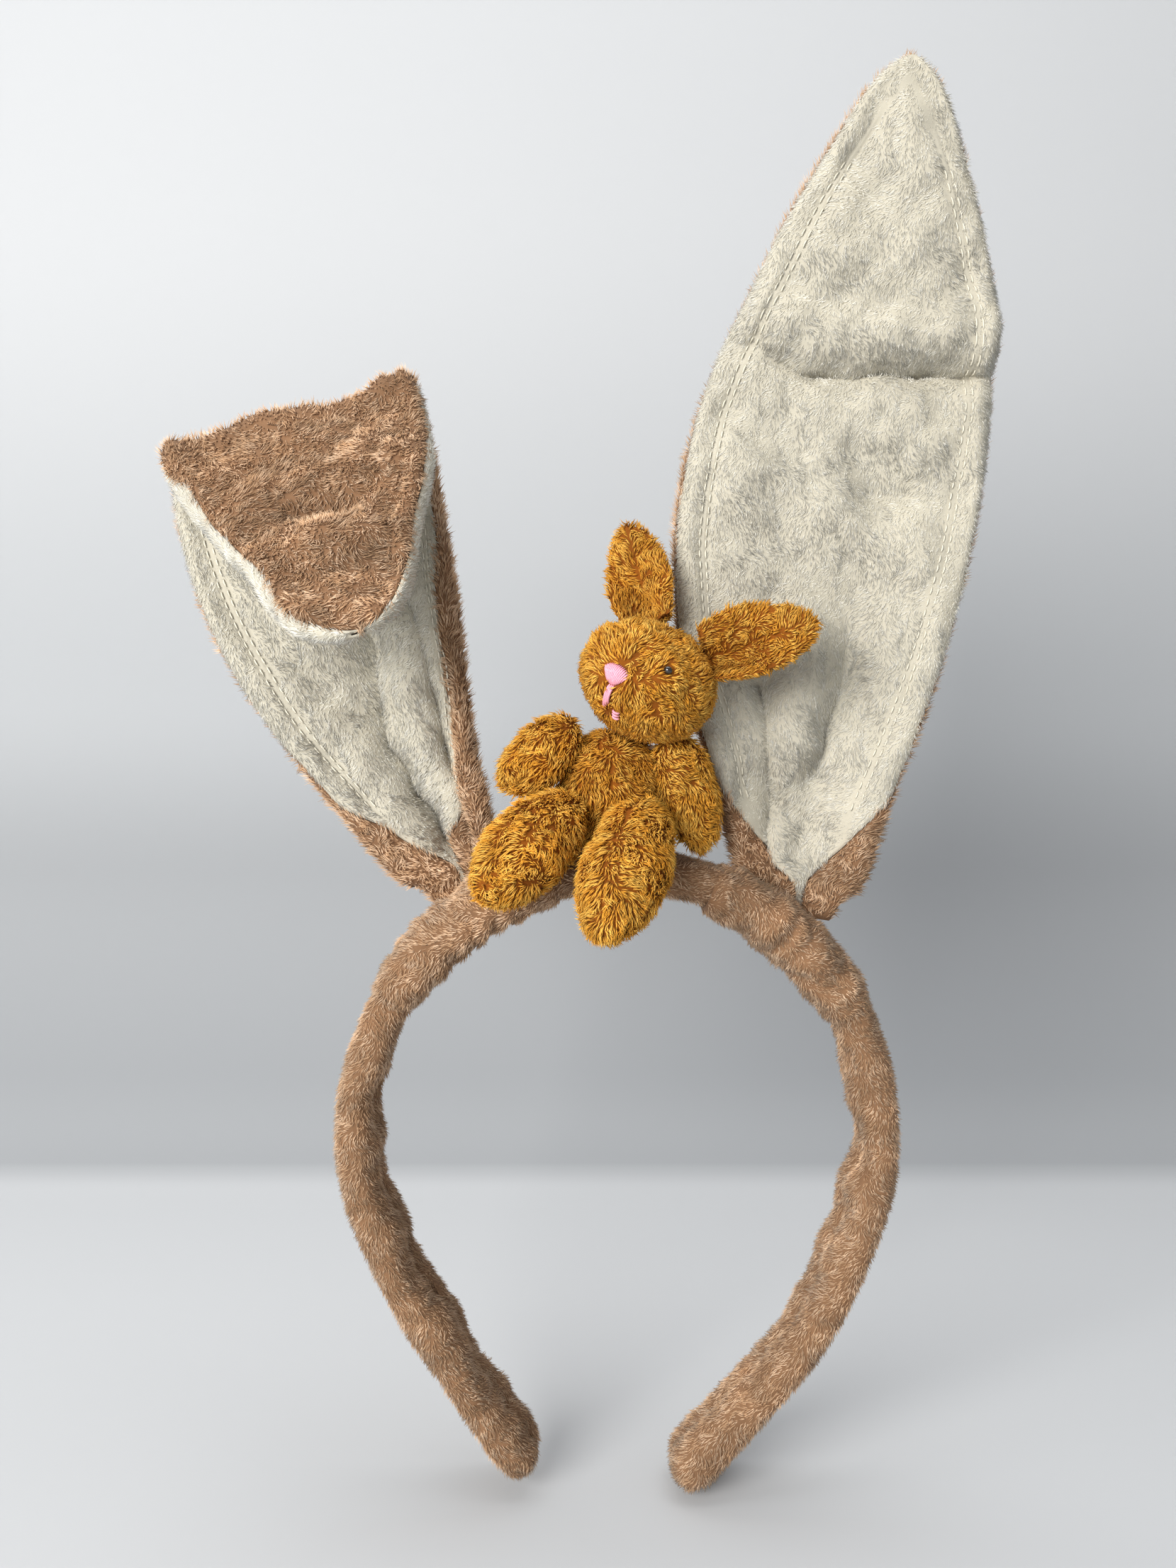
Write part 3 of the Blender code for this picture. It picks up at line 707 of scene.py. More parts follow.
    def surface(self, place, share, inset=0.0):
        """Points on the ear's skin. place runs round it from the front's middle: to the rim at
        reach, then to the back's middle at twice that; inset is a depth below the skin."""
        half, thick, reach = self.half_width(share), self.thickness(share), self.reach(share)
        side = np.sign(place) + (place == 0)
        front = np.where(np.abs(place) <= reach, 1.0, -1.0)
        edge = np.abs(reach - np.abs(place))
        round_part = np.minimum(edge / thick, math.pi / 2)
        depth = thick * (1 - np.cos(round_part)) + np.maximum(edge - math.pi / 2 * thick, 0)
        across = side * (1 - np.maximum(depth, 0) / half) * (1 - 0.8 * inset / half)
        height = thick * np.sin(round_part) + self.puff(across, share, edge, front)
        height = np.maximum(height, 0.9 * np.sin(round_part))
        height = height - np.minimum(inset, 0.7 * height)
        step = 1e-3
        sideways = self.middle(across + step, share) - self.middle(across - step, share)
        upwards = self.middle(across, share + step) - self.middle(across, share - step)
        normal = unit(np.cross(sideways, upwards))
        return self.middle(across, share) + normal * (front * height)[..., None]

    def puff(self, across, share, edge, front):
        """Padding, stitched channel and dents, added to the skin's height."""
        half = self.half_width(share)
        room = smooth((half - 9) / 8)
        channel = -0.55 * (bump(edge, 7.4, 0.5) + bump(edge, 9.0, 0.5)) * room * smooth((share - 0.06) / 0.05)
        rim = 0.2 * bump(edge, 4.2, 2.4) * room
        body = 0.5 * smooth((edge - 9) / 6) * smooth((0.97 - share) / 0.1)
        crease = smooth((edge - 2) / 4)
        z = share * EAR_LENGTH
        line = self.crease_line(across) * EAR_LENGTH
        x = across * half
        points = np.stack((x, front * 40.0, z), -1)
        slack = ripple(points, 30.0, 51 if self.side == "left" else 53) * 0.9
        slack = slack + 0.45 * ripple(points, 11.0, 57)
        made = channel + rim + body + slack * crease
        if self.side == "right":
            made = made - 1.2 * bump(z, line, 2.6) * (front > 0) * crease
            made = made + 1.0 * bump(z, line + 8, 5.0) * (front > 0) * crease
            hollow = bump(z, line - 24 - 0.6 * (x - 12), 5.5) * bump(x, 12, 10)
            ridge = bump(z, line - 38 - 0.5 * (x - 10), 5.0) * bump(x, 8, 14)
            valley = bump(x, 13 - 0.12 * (z - 60), 4.0) * bump(z, 62, 22)
            slope = bump(z, line - 22 + 0.25 * x, 5.0) * bump(x, -16, 9)
            made = made + (2.6 * ridge - 3.2 * hollow - 2.2 * valley + 1.6 * slope) * (front > 0)
        else:
            made = made - 4.6 * bump(x, -3, 10) * bump(z, 157 + 0.3 * x, 4.5) * (front < 0)
            made = made + 2.0 * bump(x, -2, 13) * bump(z, 146, 6) * (front < 0)
            made = made + 2.8 * bump(x, 0, 11) * bump(z, 172, 9) * (front < 0)
        return made * smooth(edge / 2.5)

    def bent(self, points, weight):
        """Local points folded about the crease by their weight's share of the fold."""
        pivot = np.array((0.0, -FOLD_LIFT, self.crease * EAR_LENGTH))
        angle = np.radians(self.fold) * weight
        p = points - pivot
        c, s = np.cos(angle), np.sin(angle)
        y = p[:, 1] * c - p[:, 2] * s
        z = p[:, 1] * s + p[:, 2] * c
        return np.stack((p[:, 0], y, z), 1) + pivot

    def placed(self, points, weight):
        tilt = Quaternion((0, 1, 0), math.radians(self.lean))
        turn = Quaternion((0, 0, 1), math.radians(self.yaw))
        return turned(self.bent(points, weight), tilt @ turn) + self.root

    def weights(self, share):
        start = (share - self.crease) * EAR_LENGTH + self.soft
        return smooth(start / (2 * self.soft))


LEFT_EAR = Ear("left", lean=-17.4, yaw=2.0, crease=0.57, fold=139.0, curl=0.2, soft=6.0)
RIGHT_EAR = Ear("right", lean=6.8, yaw=0.0, crease=0.605, fold=10.0, curl=0.0, soft=9.0)
SEAM_STEPS = np.array(
    (0, 0.3, 0.6, 0.95, 1.3, 1.8, 2.4, 3, 3.6, 4.3, 5, 5.8, 6.5, 7.1, 7.6, 8.1, 8.7, 9.5, 10.5, 12)
)
MIDDLE_COLUMNS = 22


def strip_places(low, high):
    """Columns from low to high, given per row, closest together beside the two seams."""
    scale = np.minimum(1.0, (high - low) / 2 / 15.0)
    steps = SEAM_STEPS[None, :] * scale[:, None]
    left = low[:, None] + steps
    right = (high[:, None] - steps)[:, ::-1]
    t = np.linspace(0, 1, MIDDLE_COLUMNS + 2)[1:-1]
    inner = left[:, -1:] + (right[:, :1] - left[:, -1:]) * t[None, :]
    return np.concatenate((left, inner, right), 1)


def ear_rows(ear, start):
    """Shares of an ear's length from start to its tip, closest together at the crease and the tip."""
    low = np.linspace(start, ear.crease - CREASE_GAP, 62, endpoint=False)
    fold = np.linspace(ear.crease - CREASE_GAP, ear.crease + CREASE_GAP, 26, endpoint=False)
    closer = 1 - (1 - np.linspace(0, 1, 44)) ** 1.4
    high = ear.crease + CREASE_GAP + (EAR_TOP - ear.crease - CREASE_GAP) * closer
    return np.concatenate((low, fold, high))


def make_ear_panel(ear, front):
    """The cream front or tan back of an ear: a padded skin with pile on its outer side."""
    seed = 60 + 2 * (ear.side == "left") + front
    rng = np.random.default_rng(seed)
    share = ear_rows(ear, FRONT_BOTTOM if front else EAR_BOTTOM)
    left, right = ear.seams(share)
    reach = ear.reach(share)
    to_right = np.maximum(reach + right, 0.3)
    to_left = np.maximum(reach + left, 0.3)
    if front:
        places = strip_places(-to_left + 0.1, to_right - 0.1)
    else:
        places = strip_places(to_right + 0.1, 4 * reach - to_left - 0.1)
        whole = 4 * reach[:, None]
        places = np.where(places > whole / 2, places - whole, places)
    shares = np.broadcast_to(share[:, None], places.shape)
    skin = ear.surface(places, shares)
    lining = ear.surface(places, shares, LINING_DEPTH)
    count = places.shape[1]
    beside = np.minimum(np.arange(count), count - 1 - np.arange(count))
    pinch = np.where(beside < len(SEAM_STEPS), SEAM_STEPS[np.minimum(beside, len(SEAM_STEPS) - 1)], 20.0)
    inward = unit(lining - skin + 1e-9)
    skin = skin + inward * (0.5 * np.exp(-((pinch / 0.7) ** 2)))[None, :, None]
    weight = np.broadcast_to(ear.weights(share)[:, None], places.shape)
    cloth = Cloth()
    rings = np.concatenate((skin, lining[:, ::-1]), 1)
    add_loft(cloth, rings, np.concatenate((weight, weight[:, ::-1]), 1).ravel())
    density, length, width = FRONT_PILE if front else BACK_PILE
    grids = (weight, reach[:, None] - np.abs(places))
    normals = surface_normals(skin, lining)
    roots, ways, across, along, (tuft_weight, edge) = scatter(rng, skin, normals, density, grids)
    painted_shade = 0.0
    if front:
        length = length * (1 - 0.6 * bump(edge, 8.3, 1.3))[:, None]
    elif ear.side == "left":
        # Painted shade: the back's pile is darkened in the dimple of the folded tip
        x, z = roots[:, 0], roots[:, 2]
        painted_shade = 0.55 * bump(x, -5, 12) * bump(z, 154 + 0.35 * x, 5.0)
    swirl = ripple(roots, 30.0, seed + 7)
    clump = ripple(roots, 7.0, seed + 9)
    nap = along * (-1.0 if front else 1.0) + across * (0.5 * swirl + 0.6 * clump - 0.25)[:, None]
    lie, lean = (1.25, 0.22) if front else (0.95, 0.42)
    add_tufts(cloth, rng, roots, ways, nap, length, width, lie, lean, weight=tuft_weight, painted_shade=painted_shade)
    moved(cloth, ear.placed)
    word, slot = ("front", "cream_plush") if front else ("back", "tan_plush")
    panel = cloth.mesh(f"{ear.side}_ear_{word}", CREAM if front else TAN)
    blend_over_crease(panel, ear)
    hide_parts(f"{ear.side}_ear_{word}_lower", f"{ear.side}_ear_{word}_upper")
    if not front:
        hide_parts(f"{ear.side}_ear_gather")


def make_ear_stitches(ear):
    """Two rows of running stitches beside each rim of an ear's cream front."""
    least_half_width = 17
    cloth = Cloth()
    rng = np.random.default_rng(77)
    for side in (-1, 1):
        for depth in (7.5, 9.1):
            for start in np.arange(0.11, 0.93, 0.0135):
                share = start + np.linspace(0, 0.0098, 5) + rng.uniform(-0.001, 0.001)
                if ear.half_width(share).min() < least_half_width:
                    continue
                place = side * (ear.reach(share) - depth)
                skin = ear.surface(place, share)
                lining = ear.surface(place, share, LINING_DEPTH)
                lift = 0.45 + 0.2 * np.sin(np.linspace(0, math.pi, 5))
                path = skin + unit(skin - lining) * lift[:, None]
                add_thread(cloth, path, 0.2, 5, float(ear.weights(share).mean()))
    moved(cloth, ear.placed)
    piece = cloth.mesh(f"{ear.side}_ear_stitches", STITCH)
    blend_over_crease(piece, ear)


def make_ear_wire(ear):
    """The hairpin of wire between the two panels, along both rims."""
    rim, turn, sides = 70, 9, 6
    up = np.linspace(0.14, 0.95, rim)
    share = np.concatenate((up, np.full(turn, 0.957), up[::-1]))
    across = np.concatenate((np.full(rim, -0.83), np.linspace(-0.7, 0.7, turn), np.full(rim, 0.83)))
    cloth = Cloth()
    add_thread(cloth, ear.middle(across, share), 0.5, sides, np.repeat(ear.weights(share), sides))
    moved(cloth, ear.placed)
    piece = cloth.mesh(f"{ear.side}_ear_wire", WIRE)
    blend_over_crease(piece, ear)
    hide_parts(f"{ear.side}_ear_wire_lower", f"{ear.side}_ear_wire_upper")


def blend_over_crease(piece, ear):
    """Bakes a piece's transform into its mesh; the pivot and the upward line of its ear are found but not
    used.
    """
    pivot = ear.placed(np.array(((0.0, 0.0, ear.crease * EAR_LENGTH),)), np.zeros(1))[0]
    up = ear.placed(np.array(((0.0, 0.0, 0.0), (0.0, 0.0, 1.0))), np.zeros(2))
    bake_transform(piece)


# ---- plush rabbit

TORSO_CENTRE, TORSO_RADII = np.array((-1.5, -3.5, 25.6)), np.array((12.0, 11.0, 14.6))
HEAD_CENTRE, HEAD_RADII = np.array((7.0, -10.6, 51.4)), np.array((16.5, 15.0, 13.6))
HEAD_TURN = Quaternion((0, 1, 0), math.radians(31.0)) @ Quaternion((0, 0, 1), math.radians(-24.0))
FACE_SHIFT = (-1.1, -1.9)  # of the nose and mouth from the middle of the face
RIGHT_EYE, LEFT_EYE, EYE_RADIUS = (8.2, 2.8), (-8.6, 3.2), 1.05
SKIN_INSET = 0.45  # how far the cloth lies inside the outline that its pile fills
SIM_SCALE, SIM_FRAMES, SIM_PRESSURE = 10.0, 20, 60.0
SEAM_HALF_WIDTH = 0.8  # of the seam down the front of each stuffed part, where its cloth is held
SIM_CAP, EAR_SIM_CAP = 0.9, 0.3  # how far stuffing may press the cloth out


def ball(rows, columns):
    """Unit directions over a ball whose poles are at +Z and -Z, as a grid."""
    theta = np.linspace(0.02, math.pi - 0.02, rows)[:, None]
    phi = turn_steps(columns)
    s = np.sin(theta)
    return np.stack((s * np.cos(phi), s * np.sin(phi), np.cos(theta) + 0 * phi), -1)


def pressed_out(rings, cap):
    """The rings of a stuffed part after its stuffing has pressed the cloth outwards, simulated at
    SIM_SCALE times its size and held at its front seam. No point moves further than cap."""
    rows, columns, _ = rings.shape
    quads, _ = tube_faces(rows, columns)
    points = np.concatenate((rings.reshape(-1, 3), rings[:1].mean(1), rings[-1:].mean(1)))
    faces = quads.tolist() + fan_faces(rows, columns).tolist()
    if inside_out(points, quads):
        faces = [one[::-1] for one in faces]
    mesh = bpy.data.meshes.new("stuffing_run")
    mesh.from_pydata((points * MM * SIM_SCALE).tolist(), [], faces)
    body = linked("stuffing_run", mesh)
    run = body.modifiers.new("Cloth", "CLOTH")
    run.settings.quality = 5
    run.settings.mass = 0.15
    run.settings.tension_stiffness = run.settings.compression_stiffness = 12.0
    run.settings.bending_stiffness = 0.3
    run.settings.use_pressure = True
    run.settings.uniform_pressure_force = SIM_PRESSURE
    run.settings.effector_weights.gravity = 0.0
    seam = (np.abs(points[:, 0]) < SEAM_HALF_WIDTH) & (points[:, 1] < 0)
    body.vertex_groups.new(name="seam").add(np.nonzero(seam)[0].tolist(), 1.0, "REPLACE")
    run.settings.vertex_group_mass = "seam"
    run.point_cache.frame_start, run.point_cache.frame_end = 1, SIM_FRAMES
    for step in range(1, SIM_FRAMES + 1):
        bpy.context.scene.frame_set(step)
    shown = body.evaluated_get(bpy.context.evaluated_depsgraph_get())
    found = np.empty(len(points) * 3, np.float32)
    shown.data.vertices.foreach_get("co", found)
    bpy.context.scene.frame_set(1)
    bpy.data.objects.remove(body)
    bpy.data.meshes.remove(mesh)
    shift = found.reshape(-1, 3).astype(float) / (MM * SIM_SCALE) - points
    size = np.linalg.norm(shift, axis=1)[:, None]
    shift = shift * np.minimum(1.0, cap / np.maximum(size, 1e-6))
    return rings + shift[: rows * columns].reshape(rings.shape)


def make_stuffed(name, body, replaced, shape, place, nap, seed, length, bare=None, hollow=None, cap=SIM_CAP):
    """A sewn, stuffed part of the rabbit. shape turns unit directions into local points, and place
    turns those into the row frame. From local points, nap gives the way the pile lies, bare those
    where none grows, and hollow how far painted shade darkens the pile."""
    rng = np.random.default_rng(seed)
    skin = pressed_out(shape(ball(56, 72)), cap)
    skin = skin - surface_normals(closed(skin), skin.mean((0, 1)))[:, :-1] * SKIN_INSET
    cloth = Cloth()
    add_loft(cloth, skin, ends="fan")
    around = closed(skin)
    normals = surface_normals(around, skin.mean((0, 1)))
    roots, out, _, _, _ = scatter(rng, around, normals, RABBIT_DENSITY)
    if bare:
        kept = ~bare(roots)
        roots, out = roots[kept], out[kept]
    lay = nap(roots) + 0.6 * np.stack([ripple(roots, 8.0, seed + k) for k in range(3)], 1)
    # Painted shade: how far each lock is darkened towards its root colour
    painted_shade = hollow(roots) if hollow else 0.0
    style = {"lie": 1.05, "lean": 0.4, "curl": 0.7, "bends": True, "painted_shade": painted_shade}
    add_tufts(cloth, rng, roots, out, lay, length, RABBIT_WIDTH, **style)
    moved(cloth, place)
    part = finish_piece(cloth, name, GOLD, "gold_plush", body, replaced)


def lying(upwards, sideways):
    """The way of pile that lies along Z by upwards, and away from the middle by sideways."""
    return lambda points: np.sign(points) * (sideways, 0.0, 0.0) + (0.0, 0.0, upwards)


def seam_groove(points, distance, depth, spread=0.8):
    """A stitched line: pulls points towards the middle where distance is about 0."""
    return points - unit(points) * (depth * np.exp(-((distance / spread) ** 2)))[..., None]


def torso_shape(ways):
    points = ways * TORSO_RADII
    low = smooth((0.35 - ways[..., 2]) / 1.1)
    points = points * np.stack((1.0 + 0.2 * low, 1.0 + 0.08 * low, np.ones_like(low)), -1)
    points[..., 0] = points[..., 0] - 2.2 * low
    points = points * (1 + 0.03 * ripple(ways * 10, 9.0, 71))[..., None]
    seam = points[..., 0] + 0.6 * np.sin(points[..., 2] * 0.3)
    return seam_groove(points, seam, 0.9 * (ways[..., 1] < 0.3))


def face_point(x, z, lift):
    """The point lift above the head's surface in front of (x, z) of its ellipsoid."""
    y = -HEAD_RADII[1] * math.sqrt(max(0.0, 1 - (x / HEAD_RADII[0]) ** 2 - (z / HEAD_RADII[2]) ** 2))
    out = unit(np.array((x, y, z)) / HEAD_RADII**2)
    return np.array((x, y, z)) + out * lift


def head_shape(ways):
    points = ways * HEAD_RADII
    sides = ways * (np.sign(ways[..., :1]) * (1, 0, 0) + (0, 1, 1))
    cheek = unit(np.array((0.42, -1.0, -0.42)))
    cheeks = 1.5 * np.exp(-((np.linalg.norm(sides - cheek, axis=-1) / 0.42) ** 2))
    points = points + unit(points) * cheeks[..., None]
    eye = unit(face_point(*RIGHT_EYE, 0.0))
    around = np.linalg.norm(unit(points) - eye, axis=-1)
    other = np.linalg.norm(unit(points) - eye * (-1, 1, 1), axis=-1)
    lids = bump(around, 0.19, 0.09) * 1.1 + bump(other, 0.17, 0.1) * 1.8
    points = points + unit(points) * lids[..., None]
    points = points * (1 + 0.012 * ripple(ways * 10, 8.0, 73))[..., None]
    above = (ways[..., 2] > -0.15) & (ways[..., 1] < 0.5)
    return seam_groove(points, points[..., 0], 0.9 * above)


def limb(name, top, far, radius, taper, point, seed):
    """An arm or leg from its joint at top to its far end. taper and point narrow the far end."""
    top, far = np.array(top), np.array(far)
    rotation = Vector(top - far).to_track_quat("Z", "Y")
    reach = np.linalg.norm(top - far) / 2

    def shape(ways):
        z = ways[..., 2]
        slim = (1 - taper * z) * (1 - point * np.clip(-z, 0, 1) ** 2)
        full = np.sign(z) * np.abs(z) ** 0.92
        points = np.stack((ways[..., 0] * radius * slim, ways[..., 1] * radius * slim, full * reach), -1)
        points = points * (1 + 0.025 * ripple(points, 11.0, seed + 3))[..., None]
        front = turned(points, rotation)[..., 1] < 0
        return seam_groove(points, points[..., 0] * 0.9 + 0.4 * np.sin(points[..., 2] * 0.4), 0.75 * front)

    def place(points, _):
        return turned(points, rotation) + (top + far) / 2

    name = f"bunny_{name}"
    make_stuffed(f"{name}_plush", name, f"{name}_skin", shape, place, lying(-1.0, 0.5), seed, 2.9)


def head_surface(direction, lift):
    """The point lift above the head's ellipsoid in a direction from its middle."""
    direction = Vector(direction).normalized()
    size = 1 / math.sqrt(sum((direction[i] / HEAD_RADII[i]) ** 2 for i in range(3)))
    point = direction * size
    out = Vector([point[i] / HEAD_RADII[i] ** 2 for i in range(3)]).normalized()
    return point + out * lift


def head_place(points, _):
    return turned(points, HEAD_TURN) + HEAD_CENTRE


def rabbit_ear(side, word):
    length, thick, wide = 17.5, 3.4, 9.0 if side > 0 else 8.2
    root = head_surface((side * 0.56, 0.1, 0.83 - side * 0.07), 0.35)
    spread = Quaternion((0, 1, 0), math.radians(side * 46))
    centre = np.array(root + spread @ Vector((0, 0, 0.5 * 16.5 + 0.9)))

    def shape(ways):
        z = np.maximum(ways[..., 2], -0.55)
        x = ways[..., 0] * wide * np.where(z < 0, 1 + 0.25 * z, 1 - 0.08 * z)
        y = ways[..., 1] * thick
        rim = np.clip(1 - (ways[..., 0] ** 2 + z**2), 0, 1)
        dent = 6.0 * rim**0.6 * bump(z, -0.3, 0.7) * bump(ways[..., 0], 0.28 * side, 0.42)
        dent = dent * (ways[..., 1] < 0)
        y = y + dent + 1.2 * rim - 3.6 * ways[..., 0] ** 2 * smooth((0.75 - z) / 1.1)
        y = y + 0.8 * bump(ways[..., 0], 0.0, 0.12) * (ways[..., 1] < 0) * smooth((0.7 - z) / 0.5)
        return np.stack((x, y, z * length), -1)

    def place(points, _):
        return head_place(turned(points, spread) + centre, _)

    # Painted shade: all of the ear's pile a little darker, and much darker inside its cup
    def hollow(points):
        inside = bump(points[:, 0], side * 2.4, 3.2) * bump(points[:, 2], -8.0, 8.0)
        return 0.25 + 0.7 * inside * (points[:, 1] < 2.2)

    name = f"bunny_{word}_ear"
    lay = lying(1.0, 0.7)
    make_stuffed(
        f"{name}_plush", "bunny_head", name, shape, place, lay, 90 + side, 2.2, hollow=hollow, cap=EAR_SIM_CAP
    )


def stitched(name, strands, replaced):
    """Satin stitches on the face. strands holds (start, end, rise, radius), places as (x, z)."""
    cloth = Cloth()
    for start, end, rise, radius in strands:
        path = []
        for t in np.linspace(0, 1, 9):
            x, z = (start[k] + (end[k] - start[k]) * t + FACE_SHIFT[k] for k in (0, 1))
            path.append(face_point(x, z, 0.45 + rise * math.sin(math.pi * t) ** 0.6))
        add_thread(cloth, path, radius)
    moved(cloth, head_place)
    finish_piece(cloth, name, PINK, "pink_thread", "bunny_head", replaced)


def make_face():
    """The nose as a fan of stitches, the mouth and the chin stitch as three strands each."""
    half_nose, strands = 3.3, 15
    nose = []
    for k in range(strands):
        x = -half_nose + 2 * half_nose * k / (strands - 1)
        round_off = math.sqrt(max(0.0, 1 - (x / 3.7) ** 2))
        nose.append(((x, -1.4 + 2.2 * round_off), (x * 0.55, -1.5 - 2.3 * round_off), 1.2 * round_off, 0.23))
    stitched("bunny_nose_satin", nose, "bunny_nose")
    mouth = [((-0.3 + 0.5 * k, -3.6), (-0.5 + 0.45 * k, -8.6 + 0.5 * k), 0.75, 0.33) for k in range(3)]
    stitched("bunny_mouth_stitch", mouth, "bunny_mouth")
    chin = [((1.9, -8.2 - 0.5 * k), (3.6, -8.1 - 0.5 * k), 0.6, 0.3) for k in range(3)]
    stitched("bunny_chin_satin", chin, "bunny_chin_stitch")


def make_eyes():
    """Glossy beads: the right one half sunk in the pile, the left one hidden in it."""
    for word, place, lift in (("left", LEFT_EYE, -0.6), ("right", RIGHT_EYE, 1.45)):
        cloth = Cloth()
        add_loft(cloth, ball(18, 24) * (1.0, 1.0, 0.92) * EYE_RADIUS + face_point(*place, lift), ends="fan")
        moved(cloth, head_place)
        eye = f"bunny_{word}_eye"
        finish_piece(cloth, f"{eye}_bead", BEAD, "black_bead", "bunny_head", eye)


def face_is_bare(points):
    """The places of the nose, the mouth and the right eye, where the head has no pile."""
    across, down = FACE_SHIFT
    nose = np.linalg.norm((points - (across, -15.0, -1.6 + down)) / (1.1, 3.0, 0.9), axis=1) < 2.6
    mouth = (np.abs(points[:, 0] - 0.1 - across) < 1.2) & (np.abs(points[:, 2] + 6.0) < 3.2)
    eye = np.linalg.norm(points - face_point(*RIGHT_EYE, 0.4), axis=1) < 1.4
    return nose | (mouth & (points[:, 1] < 0)) | eye


def make_rabbit():
    def torso_place(points, _):
        return points + TORSO_CENTRE

    def from_nose(points):
        return unit(points - np.array((0.0, -15.0, -1.0))) + (0.0, 0.3, 0.25)

    # Painted shade: the torso's pile is darkened evenly all over
    def painted_torso_shade(points):
        return np.full(len(points), 0.3)

    torso, down = ("bunny_torso_plush", "band", "bunny_torso_skin"), lying(-1.0, 0.35)
    make_stuffed(*torso, torso_shape, torso_place, down, seed=81, length=2.8, hollow=painted_torso_shade)
    head = ("bunny_head_plush", "bunny_head", "bunny_head_skin")
    make_stuffed(*head, head_shape, head_place, from_nose, seed=83, length=2.3, bare=face_is_bare)
    make_face()
    make_eyes()
    rabbit_ear(-1, "left")
    rabbit_ear(1, "right")
    limb("left_arm", (-9.9, -6.5, 42.4), (-26.5, -11.5, 25.5), 6.9, 0.06, 0.0, 101)
    limb("right_arm", (12.3, -6.5, 39.8), (20.6, -5, 10.5), 7.0, -0.06, 0.05, 103)
    limb("left_leg", (-10.5, -10, 23), (-30, -34, 3), 9.2, 0.08, 0.2, 105)
    limb("right_leg", (7.5, -11.5, 22), (-4.5, -39, -5), 9.5, 0.08, 0.24, 107)


# ---- carried-over CAD nodes


def paint_nodes():
    """Materials for the CAD nodes that are still shown."""
    finishes = {"band_core": PLASTIC, "thread": THREAD, "stuffing": STUFFING}
    for name, node in frame["nodes"].items():
        for word, finish in finishes.items():
            if word in name and not node.hide_render:
                for place in node.material_slots:
                    place.material = finish


# ---- studio


def paper_with_painted_light(name, stops):
    """Paper with painted light and shade that change with height, given as stops (height in metres, colour).
    """
    made, tree, shader = node_tree(name)
    place = tree.nodes.new("ShaderNodeTexCoord")
    parts = tree.nodes.new("ShaderNodeSeparateXYZ")
    tree.links.new(place.outputs["Object"], parts.inputs[0])
    low, high = stops[0][0], stops[-1][0]
    share = maths(tree, "DIVIDE", maths(tree, "SUBTRACT", parts.outputs[2], low), high - low)
    ramp = tree.nodes.new("ShaderNodeValToRGB")
    ramp.color_ramp.interpolation = "EASE"
    while len(ramp.color_ramp.elements) < len(stops):
        ramp.color_ramp.elements.new(0.5)
    for element, (height, colour) in zip(ramp.color_ramp.elements, stops):
        element.position = (height - low) / (high - low)
        element.color = (*colour, 1.0)
    feed(tree, ramp, {"Fac": share})
    values = {"Base Color": ramp.outputs["Color"], "Roughness": 0.85, "Specular IOR Level": 0.15}
    feed(tree, shader, values)
    return made


FLOOR, WALL = -0.1488, 0.30  # height of the floor and how far back the wall is, in metres
# Painted light and shade: the floor lighter, the wall darkest low down and lighter towards its top
BACKDROP_PAINTED_LIGHT = (
    (FLOOR, (0.55, 0.557, 0.565)),
    (-0.143, (0.345, 0.353, 0.363)),
    (-0.115, (0.305, 0.313, 0.323)),
    (-0.03, (0.335, 0.343, 0.353)),
    (0.06, (0.42, 0.43, 0.44)),
    (0.30, (0.52, 0.527, 0.535)),
)


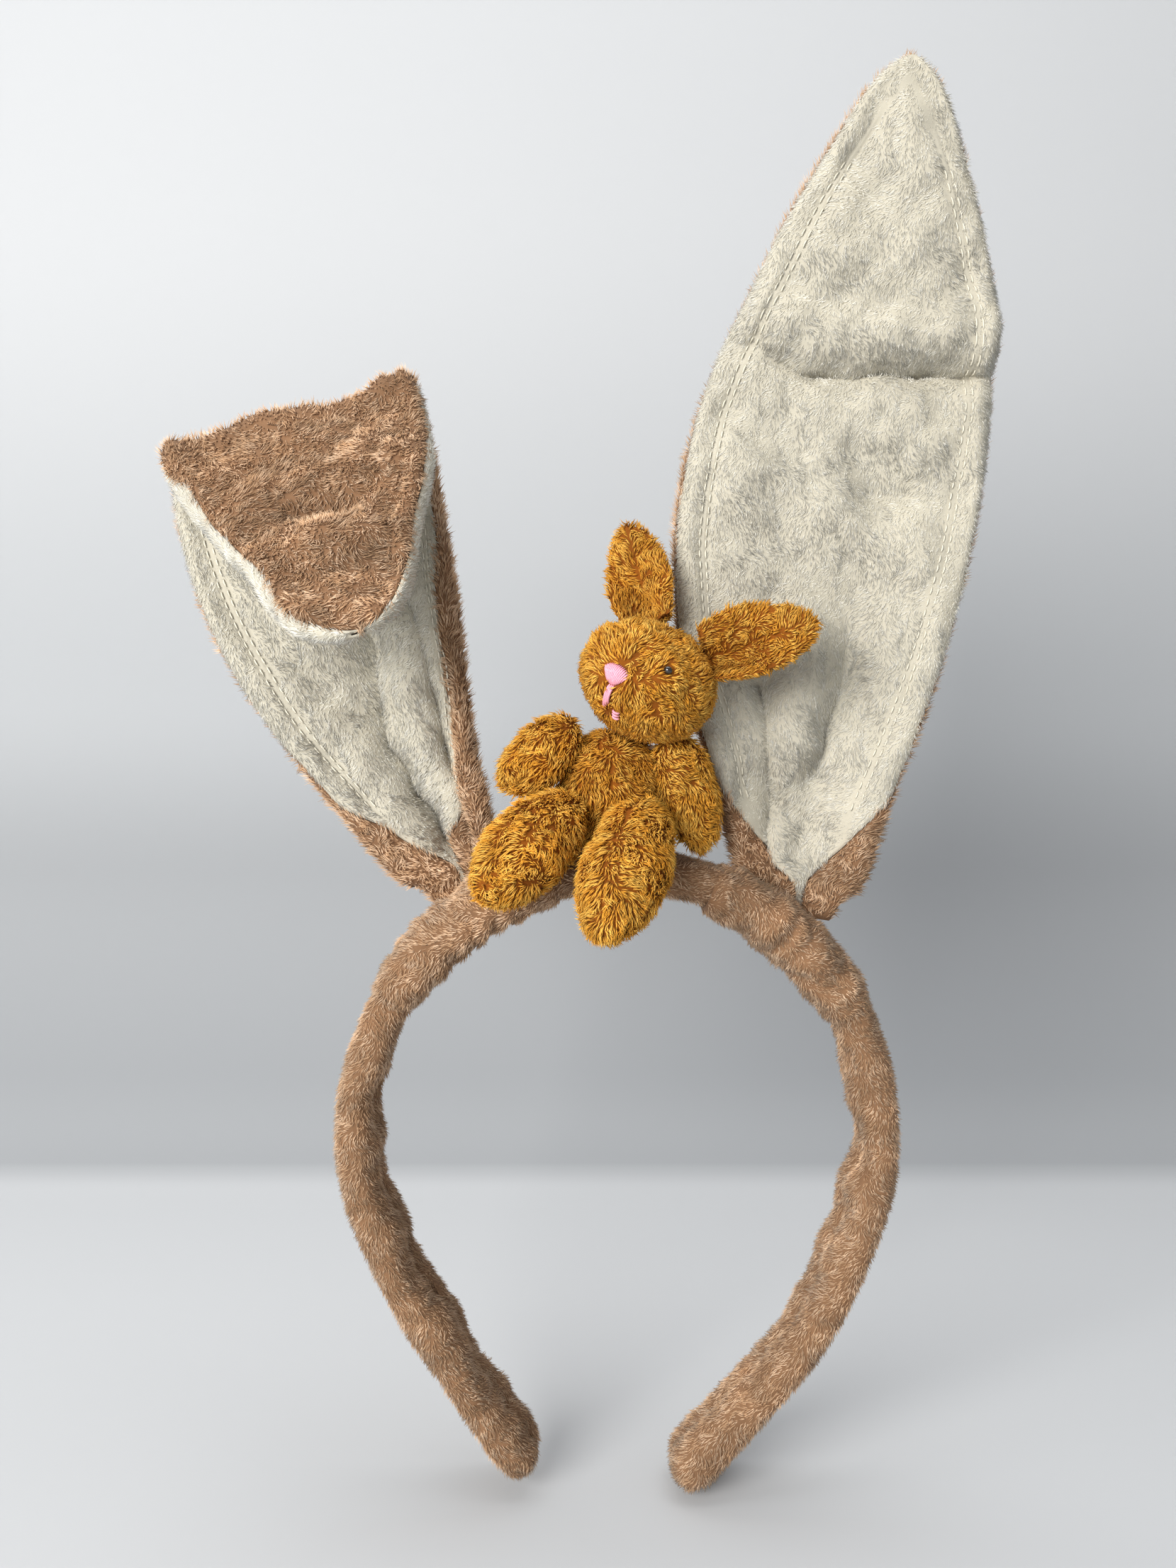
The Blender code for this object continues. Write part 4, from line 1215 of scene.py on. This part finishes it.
def make_backdrop():
    """A floor that curves up into a wall behind the headband."""
    bend, steps, half_width = 0.12, 12, 3.0
    profile = [(-2.0, FLOOR), (-0.8, FLOOR), (0.0, FLOOR), (WALL - bend, FLOOR)]
    for k in range(1, steps + 1):
        angle = math.radians(90 * k / steps)
        profile.append((WALL - bend + bend * math.sin(angle), FLOOR + bend * (1 - math.cos(angle))))
    profile += [(WALL, FLOOR + 0.6), (WALL, FLOOR + 2.2)]
    points = [(x, y, z) for y, z in profile for x in (-half_width, half_width)]
    faces = [(2 * k, 2 * k + 1, 2 * k + 3, 2 * k + 2) for k in range(len(profile) - 1)]
    mesh = bpy.data.meshes.new("backdrop")
    mesh.from_pydata(points, [], faces)
    mesh.shade_smooth()
    mesh.materials.append(paper_with_painted_light("backdrop_painted_light", BACKDROP_PAINTED_LIGHT))
    backdrop = linked("backdrop", mesh)


def area_light(name, place, target, size, power, colour):
    light = bpy.data.lights.new(name, "AREA")
    light.shape = "RECTANGLE"
    light.size, light.size_y = size
    light.energy = power
    light.color = colour
    obj = linked(name, light)
    obj.location = place
    obj.rotation_euler = (Vector(target) - Vector(place)).to_track_quat("-Z", "Y").to_euler()


def make_studio():
    make_backdrop()
    area_light("key", (-0.52, -0.85, 0.30), (0.0, 0.0, 0.02), (0.7, 0.5), 16.5, (1.0, 0.99, 0.97))
    area_light("top", (0.0, 0.0, 1.2), (0.0, 0.1, 0.0), (1.2, 0.7), 7.5, (0.97, 0.985, 1.0))
    world = bpy.data.worlds.new("studio")
    bpy.context.scene.world = world
    world.use_nodes = True
    background = world.node_tree.nodes["Background"]
    background.inputs["Color"].default_value = (0.93, 0.96, 1.0, 1.0)
    background.inputs["Strength"].default_value = 0.42
    bpy.context.scene.view_settings.view_transform = "Standard"


def make_camera():
    focus, distance, rise = Vector((-0.0071, 0.0, 0.0266)), 0.295, math.radians(2.0)
    view_height, sensor_height = 0.385, 24.0
    camera = bpy.data.cameras.new("camera")
    camera.sensor_fit = "VERTICAL"
    camera.sensor_height = sensor_height
    camera.lens = sensor_height * distance / view_height
    camera.clip_start = 0.01
    obj = linked("camera", camera)
    obj.location = focus + distance * Vector((0.0, -math.cos(rise), math.sin(rise)))
    obj.rotation_euler = (focus - obj.location).to_track_quat("-Z", "Y").to_euler()
    bpy.context.scene.camera = obj


# ---- assembly

make_sleeve()
make_collar("left", 4, 30.0, 20.0)
make_collar("right", 5, 26.0, 20.0)
for one_ear in (LEFT_EAR, RIGHT_EAR):
    make_ear_panel(one_ear, True)
    make_ear_panel(one_ear, False)
    make_ear_stitches(one_ear)
    make_ear_wire(one_ear)
make_rabbit()
paint_nodes()
make_studio()
make_camera()
